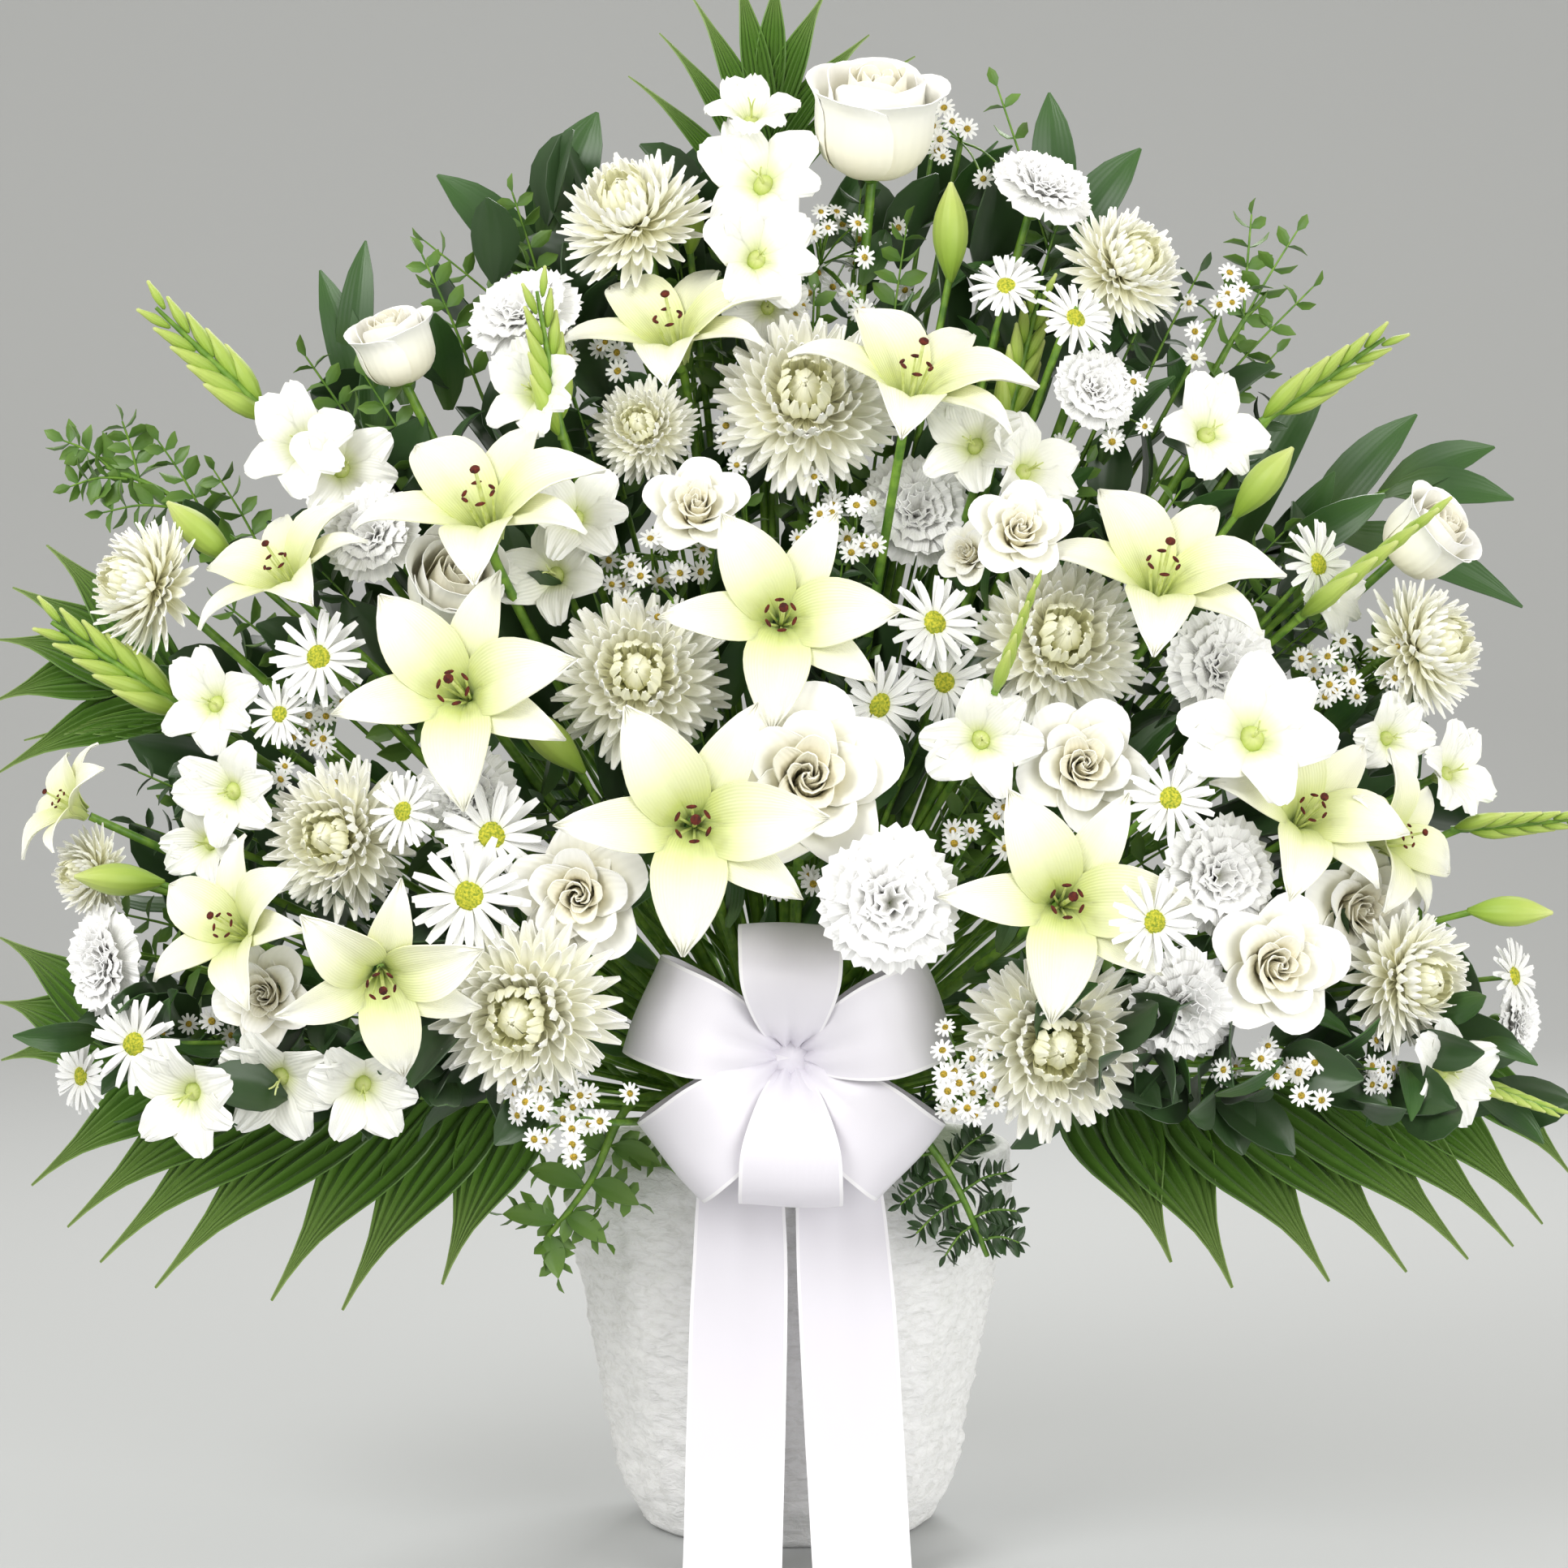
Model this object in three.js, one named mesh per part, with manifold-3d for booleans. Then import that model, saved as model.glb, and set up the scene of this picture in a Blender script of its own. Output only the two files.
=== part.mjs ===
// Funeral tribute: a one-sided fan of white flowers and palm, in a pressed-pulp vase with a satin bow.
// Millimetres, +Z up. The origin is the middle of the vase's foot, and the flowers face -Y.
import * as THREE from "three";
import Module from "manifold-3d";

const wasm = await Module();
wasm.setup();

// Vase: its foot, rim and wall, and the broad upright flutes pressed into it.
const VASE_HEIGHT = 236;
const FOOT_RADIUS = 84;
const RIM_RADIUS = 137;
const VASE_WALL = 6;
const VASE_FLOOR = 8;
const FLUTES = 8;
const FLUTE_DEPTH = 2.2;
const GAP = 0.35;

// Foam: a round block that stands in the vase and rises above its rim, so that side stems enter it.
const FOAM_RADIUS = 78;
const FOAM_TOP = 316;

// All stems point at one place in the foam, so that they never cross, and stop short of it.
const HUB = new THREE.Vector3(0, 0, 252);
const STEM_START = 52;
const FORK = 96;
const TRUNK_RADIUS = 3.4;

// The flowers are set out as seen from a standing viewer, on a front that bulges low and leans back.
const VIEWER = new THREE.Vector3(0, -2800, 620);
const FRONT_DEPTH = 262;
const LEAN_BACK = 0.36;
const FRONT_FOOT = 300;
const HALF_SPREAD = 590;

// Ribbon: satin, its width, and the thickness of the cloth.
const RIBBON = 60;
const CLOTH = 1;
const KNOT = new THREE.Vector3(2, -172, 309);

const WHITE = 0xf6f4ec;
const LEAF = 0x2f5a24;
const WET_FOAM = 0x8fb04a;

const vec = (x, y, z) => new THREE.Vector3(x, y, z);
const material = (color, roughness) => new THREE.MeshStandardMaterial({ color, roughness, metalness: 0 });

// A closed skin over rings of points: a ring has as many points as its neighbour, or is a single point.
// Crossed turns each second diagonal, so that a raised point stands among four low ones.
function loft(rings, crossed = false) {
  const points = rings.flat();
  const faces = [];
  const cap = (first, count) => {
    for (let j = 1; j + 1 < count; j++) faces.push([first, first + j, first + j + 1]);
  };
  let first = 0;
  cap(0, rings[0].length);
  for (let i = 0; i + 1 < rings.length; i++) {
    const here = rings[i].length;
    const there = rings[i + 1].length;
    const next = first + here;
    const count = Math.max(here, there);
    for (let j = 0; j < count; j++) {
      const k = (j + 1) % count;
      const [a, b] = here > 1 ? [first + j, first + k] : [first, first];
      const [c, d] = there > 1 ? [next + j, next + k] : [next, next];
      if (crossed && here > 1 && there > 1 && (i + j) % 2 === 0) faces.push([c, b, a], [b, c, d]);
      else {
        if (here > 1) faces.push([a, d, b]);
        if (there > 1) faces.push([a, c, d]);
      }
    }
    first = next;
  }
  const last = rings[rings.length - 1].length;
  for (let j = 1; j + 1 < last; j++) faces.push([first, first + j + 1, first + j]);
  const geometry = new THREE.BufferGeometry().setFromPoints(points);
  geometry.setIndex(faces.map(([a, b, c]) => (crossed ? [a, b, c] : [a, c, b])).flat());
  return geometry;
}

// A closed geometry as a solid whose faces point out.
function solid(geometry) {
  const vertProperties = new Float32Array(geometry.getAttribute("position").array);
  const triVerts = new Uint32Array(geometry.index.array);
  const made = new wasm.Manifold(new wasm.Mesh({ numProp: 3, vertProperties, triVerts }));
  if (made.volume() > 0) return made;
  for (let i = 0; i < triVerts.length; i += 3) {
    const second = triVerts[i + 1];
    triVerts[i + 1] = triVerts[i + 2];
    triVerts[i + 2] = second;
  }
  return new wasm.Manifold(new wasm.Mesh({ numProp: 3, vertProperties, triVerts }));
}

// The solids joined, without loose scraps or sealed hollows.
function fuse(solids) {
  const joined = solids.reduce((all, one) => all.add(one));
  return joined.decompose().reduce((most, one) => (one.volume() > most.volume() ? one : most));
}

// Rings of points round the Z axis, from profile rows that give radius and height at each column.
function turned(rows, columns) {
  return rows.map((row, i) => {
    if (row.length) return [vec(0, 0, row[1])];
    return Array.from({ length: columns }, (_, j) => {
      const angle = (2 * Math.PI * j) / columns;
      const [radius, height] = row.at(j, i);
      return vec(radius * Math.cos(angle), radius * Math.sin(angle), height);
    });
  });
}
const round = (radius, height) => ({ at: () => [radius, height] });
const zigzag = (outer, high, inner, low) => ({ at: (j) => (j % 2 ? [inner, low] : [outer, high]) });
const pole = (height) => [0, height];

// A direction that no stem runs along, from which the first side of a rod is found.
const ASKEW = new THREE.Vector3(0.31, 0.17, -0.93);

// A rod through points, with few sides, such as a stem. Its radius runs from thick to thin.
function rod(points, thick, thin = thick, sides = 3) {
  const rings = points.map((point, i) => {
    const along = points[Math.min(i + 1, points.length - 1)].clone().sub(points[Math.max(i - 1, 0)]).normalize();
    const across = ASKEW.clone().cross(along).normalize();
    const up = along.clone().cross(across);
    const radius = thick + ((thin - thick) * i) / (points.length - 1);
    return Array.from({ length: sides }, (_, j) => {
      const angle = (2 * Math.PI * j) / sides;
      return point.clone().addScaledVector(across, radius * Math.cos(angle))
        .addScaledVector(up, radius * Math.sin(angle));
    });
  });
  return loft(rings);
}

// A three-sided spike, such as a stamen or the thin stalk of a small flower.
function spike(foot, tip, radius) {
  const along = tip.clone().sub(foot).normalize();
  const across = ASKEW.clone().cross(along).normalize();
  const ring = [0, 1, 2].map((j) => {
    const turn = across.clone().applyAxisAngle(along, (2 * Math.PI * j) / 3);
    return foot.clone().addScaledVector(turn, radius);
  });
  return loft([ring, [tip]]);
}

// A leaf or petal along its midrib, folded a little along it, drawn to a point at both ends.
function blade(rib, halfWidths, side, thickness = 1.3, fold = 0.12) {
  const rings = rib.map((point, i) => {
    const width = halfWidths[i];
    if (!width) return [point];
    const along = rib[i + 1].clone().sub(rib[i - 1]).normalize();
    const across = side.clone().addScaledVector(along, -side.dot(along)).normalize();
    const normal = across.clone().cross(along);
    const middle = point.clone().addScaledVector(normal, -fold * width);
    return [
      point.clone().addScaledVector(across, -width),
      middle.clone().addScaledVector(normal, thickness / 2),
      point.clone().addScaledVector(across, width),
      middle.clone().addScaledVector(normal, -thickness / 2),
    ];
  });
  return loft(rings);
}

// A strip of ribbon along a path, with a width at each point, across the given side.
function strip(path, widths, side) {
  const rings = path.map((point, i) => {
    const along = path[Math.min(i + 1, path.length - 1)].clone().sub(path[Math.max(i - 1, 0)]).normalize();
    const across = side.clone().addScaledVector(along, -side.dot(along)).normalize();
    const normal = across.clone().cross(along).multiplyScalar(CLOTH / 2);
    const half = across.multiplyScalar(widths[i] / 2);
    return [
      point.clone().sub(half).sub(normal),
      point.clone().sub(half).add(normal),
      point.clone().add(half).add(normal),
      point.clone().add(half).sub(normal),
    ];
  });
  return loft(rings);
}

// Lily: one skin round six petals that flare from the throat and curl back, with a long pistil in it.
function lily(reach) {
  const star = { at: (j) => {
    const inner = j % 8 > 1 && j % 8 < 7 ? 1 : 0;
    if (j % 4 === 0) return [reach, -0.03 * reach];
    if (j % 4 === 2) return [0.17 * reach, -0.14 * reach];
    return [(0.58 + 0.09 * inner) * reach, (0.1 + 0.05 * inner) * reach];
  } };
  const rows = [pole(-0.46 * reach), star, round(0.045 * reach, -0.19 * reach), pole(0.34 * reach)];
  return [loft(turned(rows, 24))];
}

// Bud of a lily: long, three-sided and pointed.
function bud(length) {
  const rows = [pole(-0.5 * length), round(0.12 * length, -0.34 * length), round(0.17 * length, 0.05 * length),
    pole(0.5 * length)];
  return [loft(turned(rows, 6))];
}

// A large head has more petals round it than a small one.
const columnsFor = (radius) => (radius > 36 ? 10 : 8);

// Football mum: a ball of pointed petals that curve in at the top and spread at the rim.
function mum(radius) {
  const rows = [pole(0.62 * radius)];
  [22, 45, 68, 92, 118].forEach((degrees, i) => {
    const petal = 0.52 + 0.03 * i;
    rows.push({ at: (j) => {
      const raised = (i + 1 + j) % 2 === 0;
      const angle = THREE.MathUtils.degToRad(degrees - (raised ? 5 : 0));
      const reach = radius * (raised ? 1 : petal + 0.16);
      return [reach * Math.sin(angle), 0.72 * reach * Math.cos(angle)];
    } });
  });
  rows.push(pole(-0.5 * radius));
  return [loft(turned(rows, columnsFor(radius)), true)];
}

// A row of overlapping rose petals waves in and out, and up and down, round the head.
const petalRow = (radius) => (outer, high, turn) => ({ at: (j) => {
  const wave = Math.cos((j * 2 * Math.PI * 2) / 5 + turn);
  return [radius * (outer + 0.07 * wave), radius * (high + 0.06 * wave)];
} });

// Rose: broad outer petals, then two rows rolled round a tight heart.
function rose(radius) {
  const lobes = petalRow(radius);
  const rows = [
    pole(-0.86 * radius),
    lobes(1, 0.1, 1),
    lobes(0.7, -0.02, 2),
    lobes(0.62, 0.42, 3),
    lobes(0.4, 0.2, 1),
    lobes(0.3, 0.52, 2),
    pole(0.3 * radius),
  ];
  return [loft(turned(rows, columnsFor(radius)))];
}

// Half-open rose: its petals still stand up in a tall cup.
function cup(radius) {
  const lobes = petalRow(radius);
  const rows = [
    pole(-0.86 * radius),
    lobes(0.6, -0.6, 1),
    lobes(0.88, 0, 1),
    lobes(0.92, 0.5, 2),
    lobes(0.6, 0.36, 3),
    lobes(0.42, 0.68, 2),
    pole(0.46 * radius),
  ];
  return [loft(turned(rows, columnsFor(radius)))];
}

// Carnation: three ruffled tiers on a long green calyx.
function carnation(radius) {
  const frill = (outer, high) => zigzag((outer + 0.06) * radius, (high + 0.1) * radius,
    (outer - 0.08) * radius, (high - 0.08) * radius);
  const rows = [
    pole(-0.92 * radius),
    round(0.2 * radius, -0.86 * radius),
    frill(0.94, 0),
    round(0.62 * radius, 0.06 * radius),
    frill(0.66, 0.34),
    frill(0.3, 0.58),
    pole(0.42 * radius),
  ];
  return [loft(turned(rows, columnsFor(radius)), true)];
}

// Daisy: eight flat pointed petals round a raised disc.
function daisy(radius) {
  const rows = [
    pole(-0.16 * radius),
    zigzag(radius, -0.02 * radius, 0.52 * radius, -0.02 * radius),
    round(0.27 * radius, 0.1 * radius),
    pole(0.17 * radius),
  ];
  return [loft(turned(rows, 16))];
}

// Aster: a small four-petalled star.
function aster(radius) {
  return [loft(turned([pole(-2.4), zigzag(radius, 0, 0.5 * radius, 0), pole(2.2)], 8))];
}

// Gladiolus floret: a ruffled funnel of lobes.
function floret(radius) {
  const rows = [
    pole(-0.95 * radius),
    round(0.32 * radius, -0.42 * radius),
    zigzag(radius, 0.12 * radius, 0.74 * radius, -0.02 * radius),
    pole(-0.36 * radius),
  ];
  return [loft(turned(rows, 8))];
}

// Gladiolus spear: a stalk of green buds that lie close round it and point up, smaller to the tip.
function spear(length) {
  const count = 5;
  const rows = [pole(-0.5 * length)];
  for (let k = 1; k < count; k++) {
    const share = k / count;
    const width = 9.5 * (1 - 0.55 * share);
    rows.push({ at: (j, i) => {
      const raised = (i + j) % 2 === 0;
      return [raised ? width : 0.3 * width, (share - 0.5) * length + (raised ? 0.07 * length : 0)];
    } });
  }
  rows.push(pole(0.5 * length));
  return [loft(turned(rows, 6), true)];
}

// How far each head reaches behind its middle, where its stem meets it, as a share of its size.
const HEADS = {
  lily: { make: lily, back: 0.43, neck: 26, stem: 2.8 },
  bud: { make: bud, back: 0.4, neck: 16, stem: 2.2 },
  mum: { make: mum, back: 0.36, neck: 20, stem: 3 },
  rose: { make: rose, back: 0.76, neck: 18, stem: 2.8 },
  cup: { make: cup, back: 0.76, neck: 18, stem: 2.8 },
  carnation: { make: carnation, back: 0.84, neck: 16, stem: 2.2 },
  daisy: { make: daisy, back: 0.02, neck: 16, stem: 1.7 },
  floret: { make: floret, back: 0.8, neck: 8, stem: 2.4 },
  spear: { make: spear, back: 0.4, neck: 6, stem: 2.6 },
};

// Where a point seen at x across and z up in the vase's own plane lies, that far towards the viewer.
function seen([x, z], depth) {
  const share = (-VIEWER.y - depth) / -VIEWER.y;
  return vec(x * share, -depth, VIEWER.z + (z - VIEWER.z) * share);
}

function frontDepth([x, z]) {
  return (FRONT_DEPTH - LEAN_BACK * (z - FRONT_FOOT)) * Math.sqrt(1 - (x / HALF_SPREAD) ** 2);
}

// The turn that carries +Z to the way a head faces, with a spin about it.
function facing(face, spin, middle) {
  const turn = new THREE.Quaternion().setFromUnitVectors(vec(0, 0, 1), face);
  turn.multiply(new THREE.Quaternion().setFromAxisAngle(vec(0, 0, 1), spin));
  return new THREE.Matrix4().compose(middle, turn, vec(1, 1, 1));
}

// Each stem holds heads: kind, place seen from the front, size, the way it faces, and its lift, which
// brings it nearer the viewer than the front of the fan.
const STEMS = {
  lily_top_left: [
    ["lily", [-72, 738], 68, [-0.2, -0.5, 0.85], 14],
    ["bud", [-58, 800], 40, [0.1, -0.2, 1], -18],
  ],
  lily_top_right: [
    ["lily", [78, 708], 72, [0.15, -0.5, 0.85], 70],
    ["bud", [100, 795], 60, [0, -0.1, 1], 0],
  ],
  lily_upper_left: [
    ["lily", [-188, 630], 74, [-0.2, -0.6, 0.8], 60],
    ["lily", [-312, 590], 58, [-0.45, -0.5, 0.75], 24],
    ["bud", [-360, 612], 54, [-0.7, -0.2, 0.65], 0],
  ],
  lily_upper_right: [
    ["lily", [230, 588], 72, [0.1, -0.65, 0.75], 40],
    ["bud", [292, 642], 56, [0.6, -0.3, 0.75], 10],
  ],
  lily_centre: [["lily", [-4, 560], 68, [0, -1, 0.2], 52]],
  lily_left: [
    ["lily", [-204, 515], 72, [-0.2, -1, 0.25], 50],
    ["bud", [-146, 484], 58, [-0.7, -0.35, 0.7], 10],
  ],
  lily_low_centre: [["lily", [-58, 432], 76, [0, -1, 0.1], 62]],
  lily_low_right: [["lily", [172, 384], 70, [0.05, -1, 0.15], 62]],
  lily_right: [
    ["lily", [322, 440], 60, [0.3, -0.9, 0.5], 46],
    ["lily", [378, 424], 52, [0.8, -0.6, 0.2], 20],
    ["bud", [446, 378], 50, [1, -0.3, 0], 34],
  ],
  lily_low_left: [
    ["lily", [-345, 368], 56, [-0.6, -0.8, 0.4], 52],
    ["lily", [-251, 334], 60, [0.1, -1, -0.25], 74],
    ["bud", [-412, 398], 54, [-1, -0.4, 0.1], 20],
    ["lily", [-446, 446], 42, [-0.8, -0.4, 0.5], 26],
  ],
  mum_top_left: [
    ["mum", [-96, 808], 47, [-0.35, -0.7, 0.8], 0],
    ["mum", [-89, 676], 32, [-0.2, -1, 0.3], -2],
  ],
  mum_upper_centre: [["mum", [11, 694], 55, [0, -1, 0.35], 14]],
  mum_centre: [["mum", [-92, 524], 52, [0, -1, 0.2], 10]],
  mum_right: [
    ["mum", [168, 546], 52, [0.15, -1, 0.25], -2],
    ["mum", [209, 776], 40, [0.6, -0.7, 0.5], 0],
  ],
  mum_left: [
    ["mum", [-279, 424], 46, [-0.3, -1, 0.1], 2],
    ["mum", [-398, 580], 42, [-1, -0.6, 0.3], 0],
    ["mum", [-432, 402], 28, [-0.8, -0.7, 0], 4],
  ],
  mum_low_left: [["mum", [-164, 315], 55, [-0.15, -1, -0.05], 14]],
  mum_low_right: [["mum", [166, 296], 54, [0.1, -1, -0.05], 0]],
  mum_far_right: [
    ["mum", [396, 542], 42, [0.9, -0.7, 0.3], 0],
    ["mum", [388, 336], 42, [0.6, -0.8, 0], 10],
  ],
  rose_top: [["cup", [53, 858], 42, [0.05, -0.42, 0.9], 10]],
  rose_upper_left: [
    ["cup", [-239, 722], 27, [-0.3, -0.35, 0.9], 0],
    ["cup", [-207, 579], 30, [0.26, -0.8, 0.5], 1],
  ],
  rose_centre: [["rose", [-56, 626], 27, [0, -0.9, 0.5], 10]],
  rose_right: [
    ["rose", [142, 612], 26, [0.1, -0.9, 0.4], 46],
    ["rose", [112, 598], 17, [-0.5, -0.8, 0.3], 0],
    ["rose", [181, 468], 33, [0.1, -1, 0.2], 12],
  ],
  rose_low_centre: [["rose", [12, 460], 46, [0.05, -1, 0.2], 24]],
  rose_low_left: [
    ["rose", [-128, 388], 35, [-0.1, -1, 0], 12],
    ["rose", [-322, 326], 26, [-0.2, -1, 0.1], 20],
  ],
  rose_right_edge: [["cup", [390, 607], 29, [0.66, -0.5, 0.58], -17]],
  rose_far_right: [
    ["rose", [301, 345], 35, [0.2, -1, 0.1], 16],
    ["rose", [352, 380], 32, [0.4, -1, 0], -10],
  ],
  carnation_upper_left: [
    ["carnation", [-162, 748], 33, [-0.3, -0.7, 0.7], 0],
    ["carnation", [-256, 612], 28, [-0.3, -1, 0.3], 6],
  ],
  carnation_centre: [
    ["carnation", [80, 626], 32, [0.1, -1, 0.3], -24],
    ["carnation", [64, 384], 38, [0.05, -1, 0.1], 46],
  ],
  carnation_upper_right: [
    ["carnation", [158, 824], 30, [0.3, -0.6, 0.7], 0],
    ["carnation", [190, 700], 24, [0.3, -1, 0.4], 4],
  ],
  carnation_right: [
    ["carnation", [268, 528], 32, [0.3, -1, 0.2], 0],
    ["carnation", [268, 400], 32, [0.2, -1, 0.1], 20],
    ["carnation", [246, 318], 30, [0.2, -1, -0.1], 10],
    ["carnation", [452, 310], 22, [0.9, -0.6, 0], -34],
  ],
  carnation_left: [
    ["carnation", [-424, 346], 30, [-0.8, -0.8, 0], 4],
    ["carnation", [-198, 448], 29, [-0.2, -1, 0.1], 2],
  ],
  daisy_upper_left: [
    ["daisy", [-288, 535], 25, [-0.1, -1, 0.2], 30],
    ["daisy", [-312, 500], 18, [-0.4, -1, 0.2], 10],
  ],
  daisy_left: [
    ["daisy", [-182, 425], 28, [0, -1, 0.15], 22],
    ["daisy", [-196, 388], 30, [-0.1, -1, 0.1], 36],
    ["daisy", [-236, 440], 21, [-0.5, -0.9, 0.2], 30],
    ["daisy", [-403, 296], 25, [-0.4, -1, 0.1], 30],
    ["daisy", [-436, 276], 20, [-0.7, -0.8, 0], -16],
  ],
  daisy_centre: [
    ["daisy", [56, 506], 26, [0.5, -0.8, -0.2], 14],
    ["daisy", [90, 556], 25, [0.4, -1, 0.3], 24],
    ["daisy", [96, 520], 23, [0.3, -1, 0], 4],
  ],
  daisy_right: [
    ["daisy", [236, 448], 23, [0.1, -1, 0.2], 60],
    ["daisy", [226, 372], 24, [0.4, -1, 0], 76],
    ["daisy", [325, 592], 24, [0.7, -0.8, 0.2], 0],
    ["daisy", [448, 338], 20, [0.8, -0.6, 0.2], 8],
  ],
  daisy_top_right: [
    ["daisy", [176, 742], 22, [0.4, -0.8, 0.5], 30],
    ["daisy", [134, 762], 20, [-0.1, -0.9, 0.6], 20],
  ],
  gladiolus_top: [
    ["floret", [-22, 872], 22, [0, -0.7, 0.8], 6],
    ["floret", [-17, 830], 30, [-0.2, -1, 0.35], 10],
    ["floret", [-16, 782], 27, [0.2, -1, 0.2], 22],
    ["floret", [-12, 750], 20, [0, -1, 0], 0],
  ],
  gladiolus_left: [
    ["floret", [-300, 668], 27, [-0.3, -1, 0.3], 10],
    ["spear", [-352, 716], 110, [-0.72, -0.1, 0.7], 0],
    ["floret", [-272, 652], 25, [0.2, -1, 0.1], 4],
  ],
  gladiolus_upper_left: [
    ["floret", [-158, 700], 24, [-0.5, -1, 0.3], 28],
    ["spear", [-146, 716], 100, [-0.16, -0.2, 1], 34],
    ["floret", [-130, 624], 24, [0, -1, 0.3], 22],
    ["floret", [-146, 588], 25, [-0.3, -1, 0.2], 6],
  ],
  gladiolus_upper_right: [
    ["floret", [112, 668], 24, [-0.4, -1, 0.3], 36],
    ["spear", [144, 716], 100, [0.25, -0.1, 1], -14],
    ["floret", [152, 652], 24, [0.6, -1, 0.3], 30],
    ["spear", [140, 546], 76, [0.35, -0.35, 1], 66],
    ["floret", [120, 484], 26, [0, -1, 0], 30],
  ],
  gladiolus_right: [
    ["floret", [262, 676], 26, [0.3, -1, 0.4], 0],
    ["spear", [330, 706], 100, [0.8, -0.1, 0.55], 0],
    ["floret", [334, 578], 22, [0.7, -0.8, 0.2], -18],
    ["spear", [356, 592], 112, [0.75, -0.25, 0.62], 26],
    ["floret", [290, 490], 34, [0.1, -1, 0.3], 70],
    ["floret", [374, 486], 20, [0.4, -1, 0.1], 2],
  ],
  gladiolus_far_left: [
    ["floret", [-356, 508], 24, [-0.3, -1, 0.2], 8],
    ["spear", [-412, 530], 110, [-0.8, -0.2, 0.55], 0],
    ["floret", [-346, 452], 24, [-0.3, -1, 0], 20],
    ["floret", [-362, 420], 20, [-0.5, -1, 0], 6],
  ],
  gladiolus_far_right: [
    ["floret", [414, 466], 22, [0.6, -0.8, 0.3], -4],
    ["spear", [448, 432], 80, [0.95, -0.25, 0.1], 0],
    ["floret", [412, 278], 24, [0.5, -1, 0], 10],
    ["spear", [448, 264], 64, [0.9, -0.35, -0.3], 10],
  ],
  gladiolus_low_left: [
    ["floret", [-374, 262], 26, [-0.4, -1, -0.2], 60],
    ["floret", [-316, 270], 26, [-0.1, -1, -0.3], 10],
    ["floret", [-262, 266], 24, [0.1, -1, -0.3], 6],
  ],
};

// A trunk runs straight out from the hub, and bends at its neck to the way its head faces.
function stemPath(base, face, neck) {
  const bend = base.clone().addScaledVector(face, -neck);
  return [HUB.clone().add(bend.clone().sub(HUB).setLength(STEM_START)), bend, base];
}

// A plain hole in the foam round the start of a trunk that goes that way from the hub.
const holes = [];
function foamHole(along, radius) {
  const at = (distance) => HUB.clone().addScaledVector(along, distance);
  holes.push(solid(rod([at(STEM_START - 1), at(150)], radius + 1)));
}

// A stem with its heads: the first stands on the trunk, and the others fork from it above the foam.
function flowerStem(heads) {
  const parts = [];
  let fork = null;
  heads.forEach(([kind, place, size, way, lift], i) => {
    const { make, back, neck, stem } = HEADS[kind];
    const face = vec(...way).normalize();
    const middle = seen(place, frontDepth(place) + lift);
    const base = middle.clone().addScaledVector(face, -back * size);
    const path = fork ? [fork, base] : stemPath(base, face, neck);
    parts.push(solid(rod(path, fork ? stem : TRUNK_RADIUS, stem)));
    const turn = facing(face, 0.4 * i + 0.2, middle);
    make(size).forEach((geometry) => parts.push(solid(geometry.applyMatrix4(turn))));
    if (!fork) {
      const along = path[1].clone().sub(HUB).normalize();
      fork = HUB.clone().addScaledVector(along, FORK);
      foamHole(along, TRUNK_RADIUS);
    }
  });
  return fuse(parts);
}

// Sprays of small asters: each cluster is a place seen from the front, with its lift and its stars' places
// across and up from it. The first cluster stands on the trunk, and the others fork from it.
const STAR = 7.5;
const SPRAYS = {
  asters_top: [
    [[42, 784], -54, [[-14, -22], [-8, 16], [26, 14], [30, -24]]],
    [[106, 850], -10, [[4, 8]]],
  ],
  asters_centre: [
    [[-82, 580], 20, [[-14, 12], [16, -16], [-2, 28]]],
    [[42, 610], 20, [[-16, 10], [12, -6]]],
  ],
  asters_low_left: [
    [[-136, 246], 24, [[-26, 14], [-14, -10], [20, 2]]],
    [[-292, 482], 0, [[0, 0]]],
  ],
  asters_right: [
    [[316, 276], 16, [[-46, 4], [2, -12], [22, 10], [52, 4]]],
    [[106, 270], 20, [[-10, 22], [10, -18]]],
    [[352, 516], 10, [[-4, 4]]],
  ],
};

function asterSpray(clusters) {
  const parts = [];
  let fork = null;
  clusters.forEach(([place, lift, stars]) => {
    const crown = seen(place, frontDepth(place) + lift - 46);
    const start = fork || HUB.clone().add(crown.clone().sub(HUB).setLength(STEM_START));
    parts.push(solid(rod([start, crown], fork ? 2 : TRUNK_RADIUS, 1.8)));
    stars.forEach(([across, up], k) => {
      const spot = [place[0] + across, place[1] + up];
      const middle = seen(spot, frontDepth(spot) + lift);
      const face = middle.clone().sub(crown).normalize();
      const turn = facing(face, across, middle);
      aster(STAR).forEach((geometry) => parts.push(solid(geometry.applyMatrix4(turn))));
      const foot = crown.clone().lerp(start, 0.03 * k);
      parts.push(solid(spike(foot, middle.clone().addScaledVector(face, 1), 1.5)));
    });
    if (!fork) {
      const along = crown.clone().sub(HUB).normalize();
      fork = HUB.clone().addScaledVector(along, FORK);
      foamHole(along, TRUNK_RADIUS);
    }
  });
  return fuse(parts);
}

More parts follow.
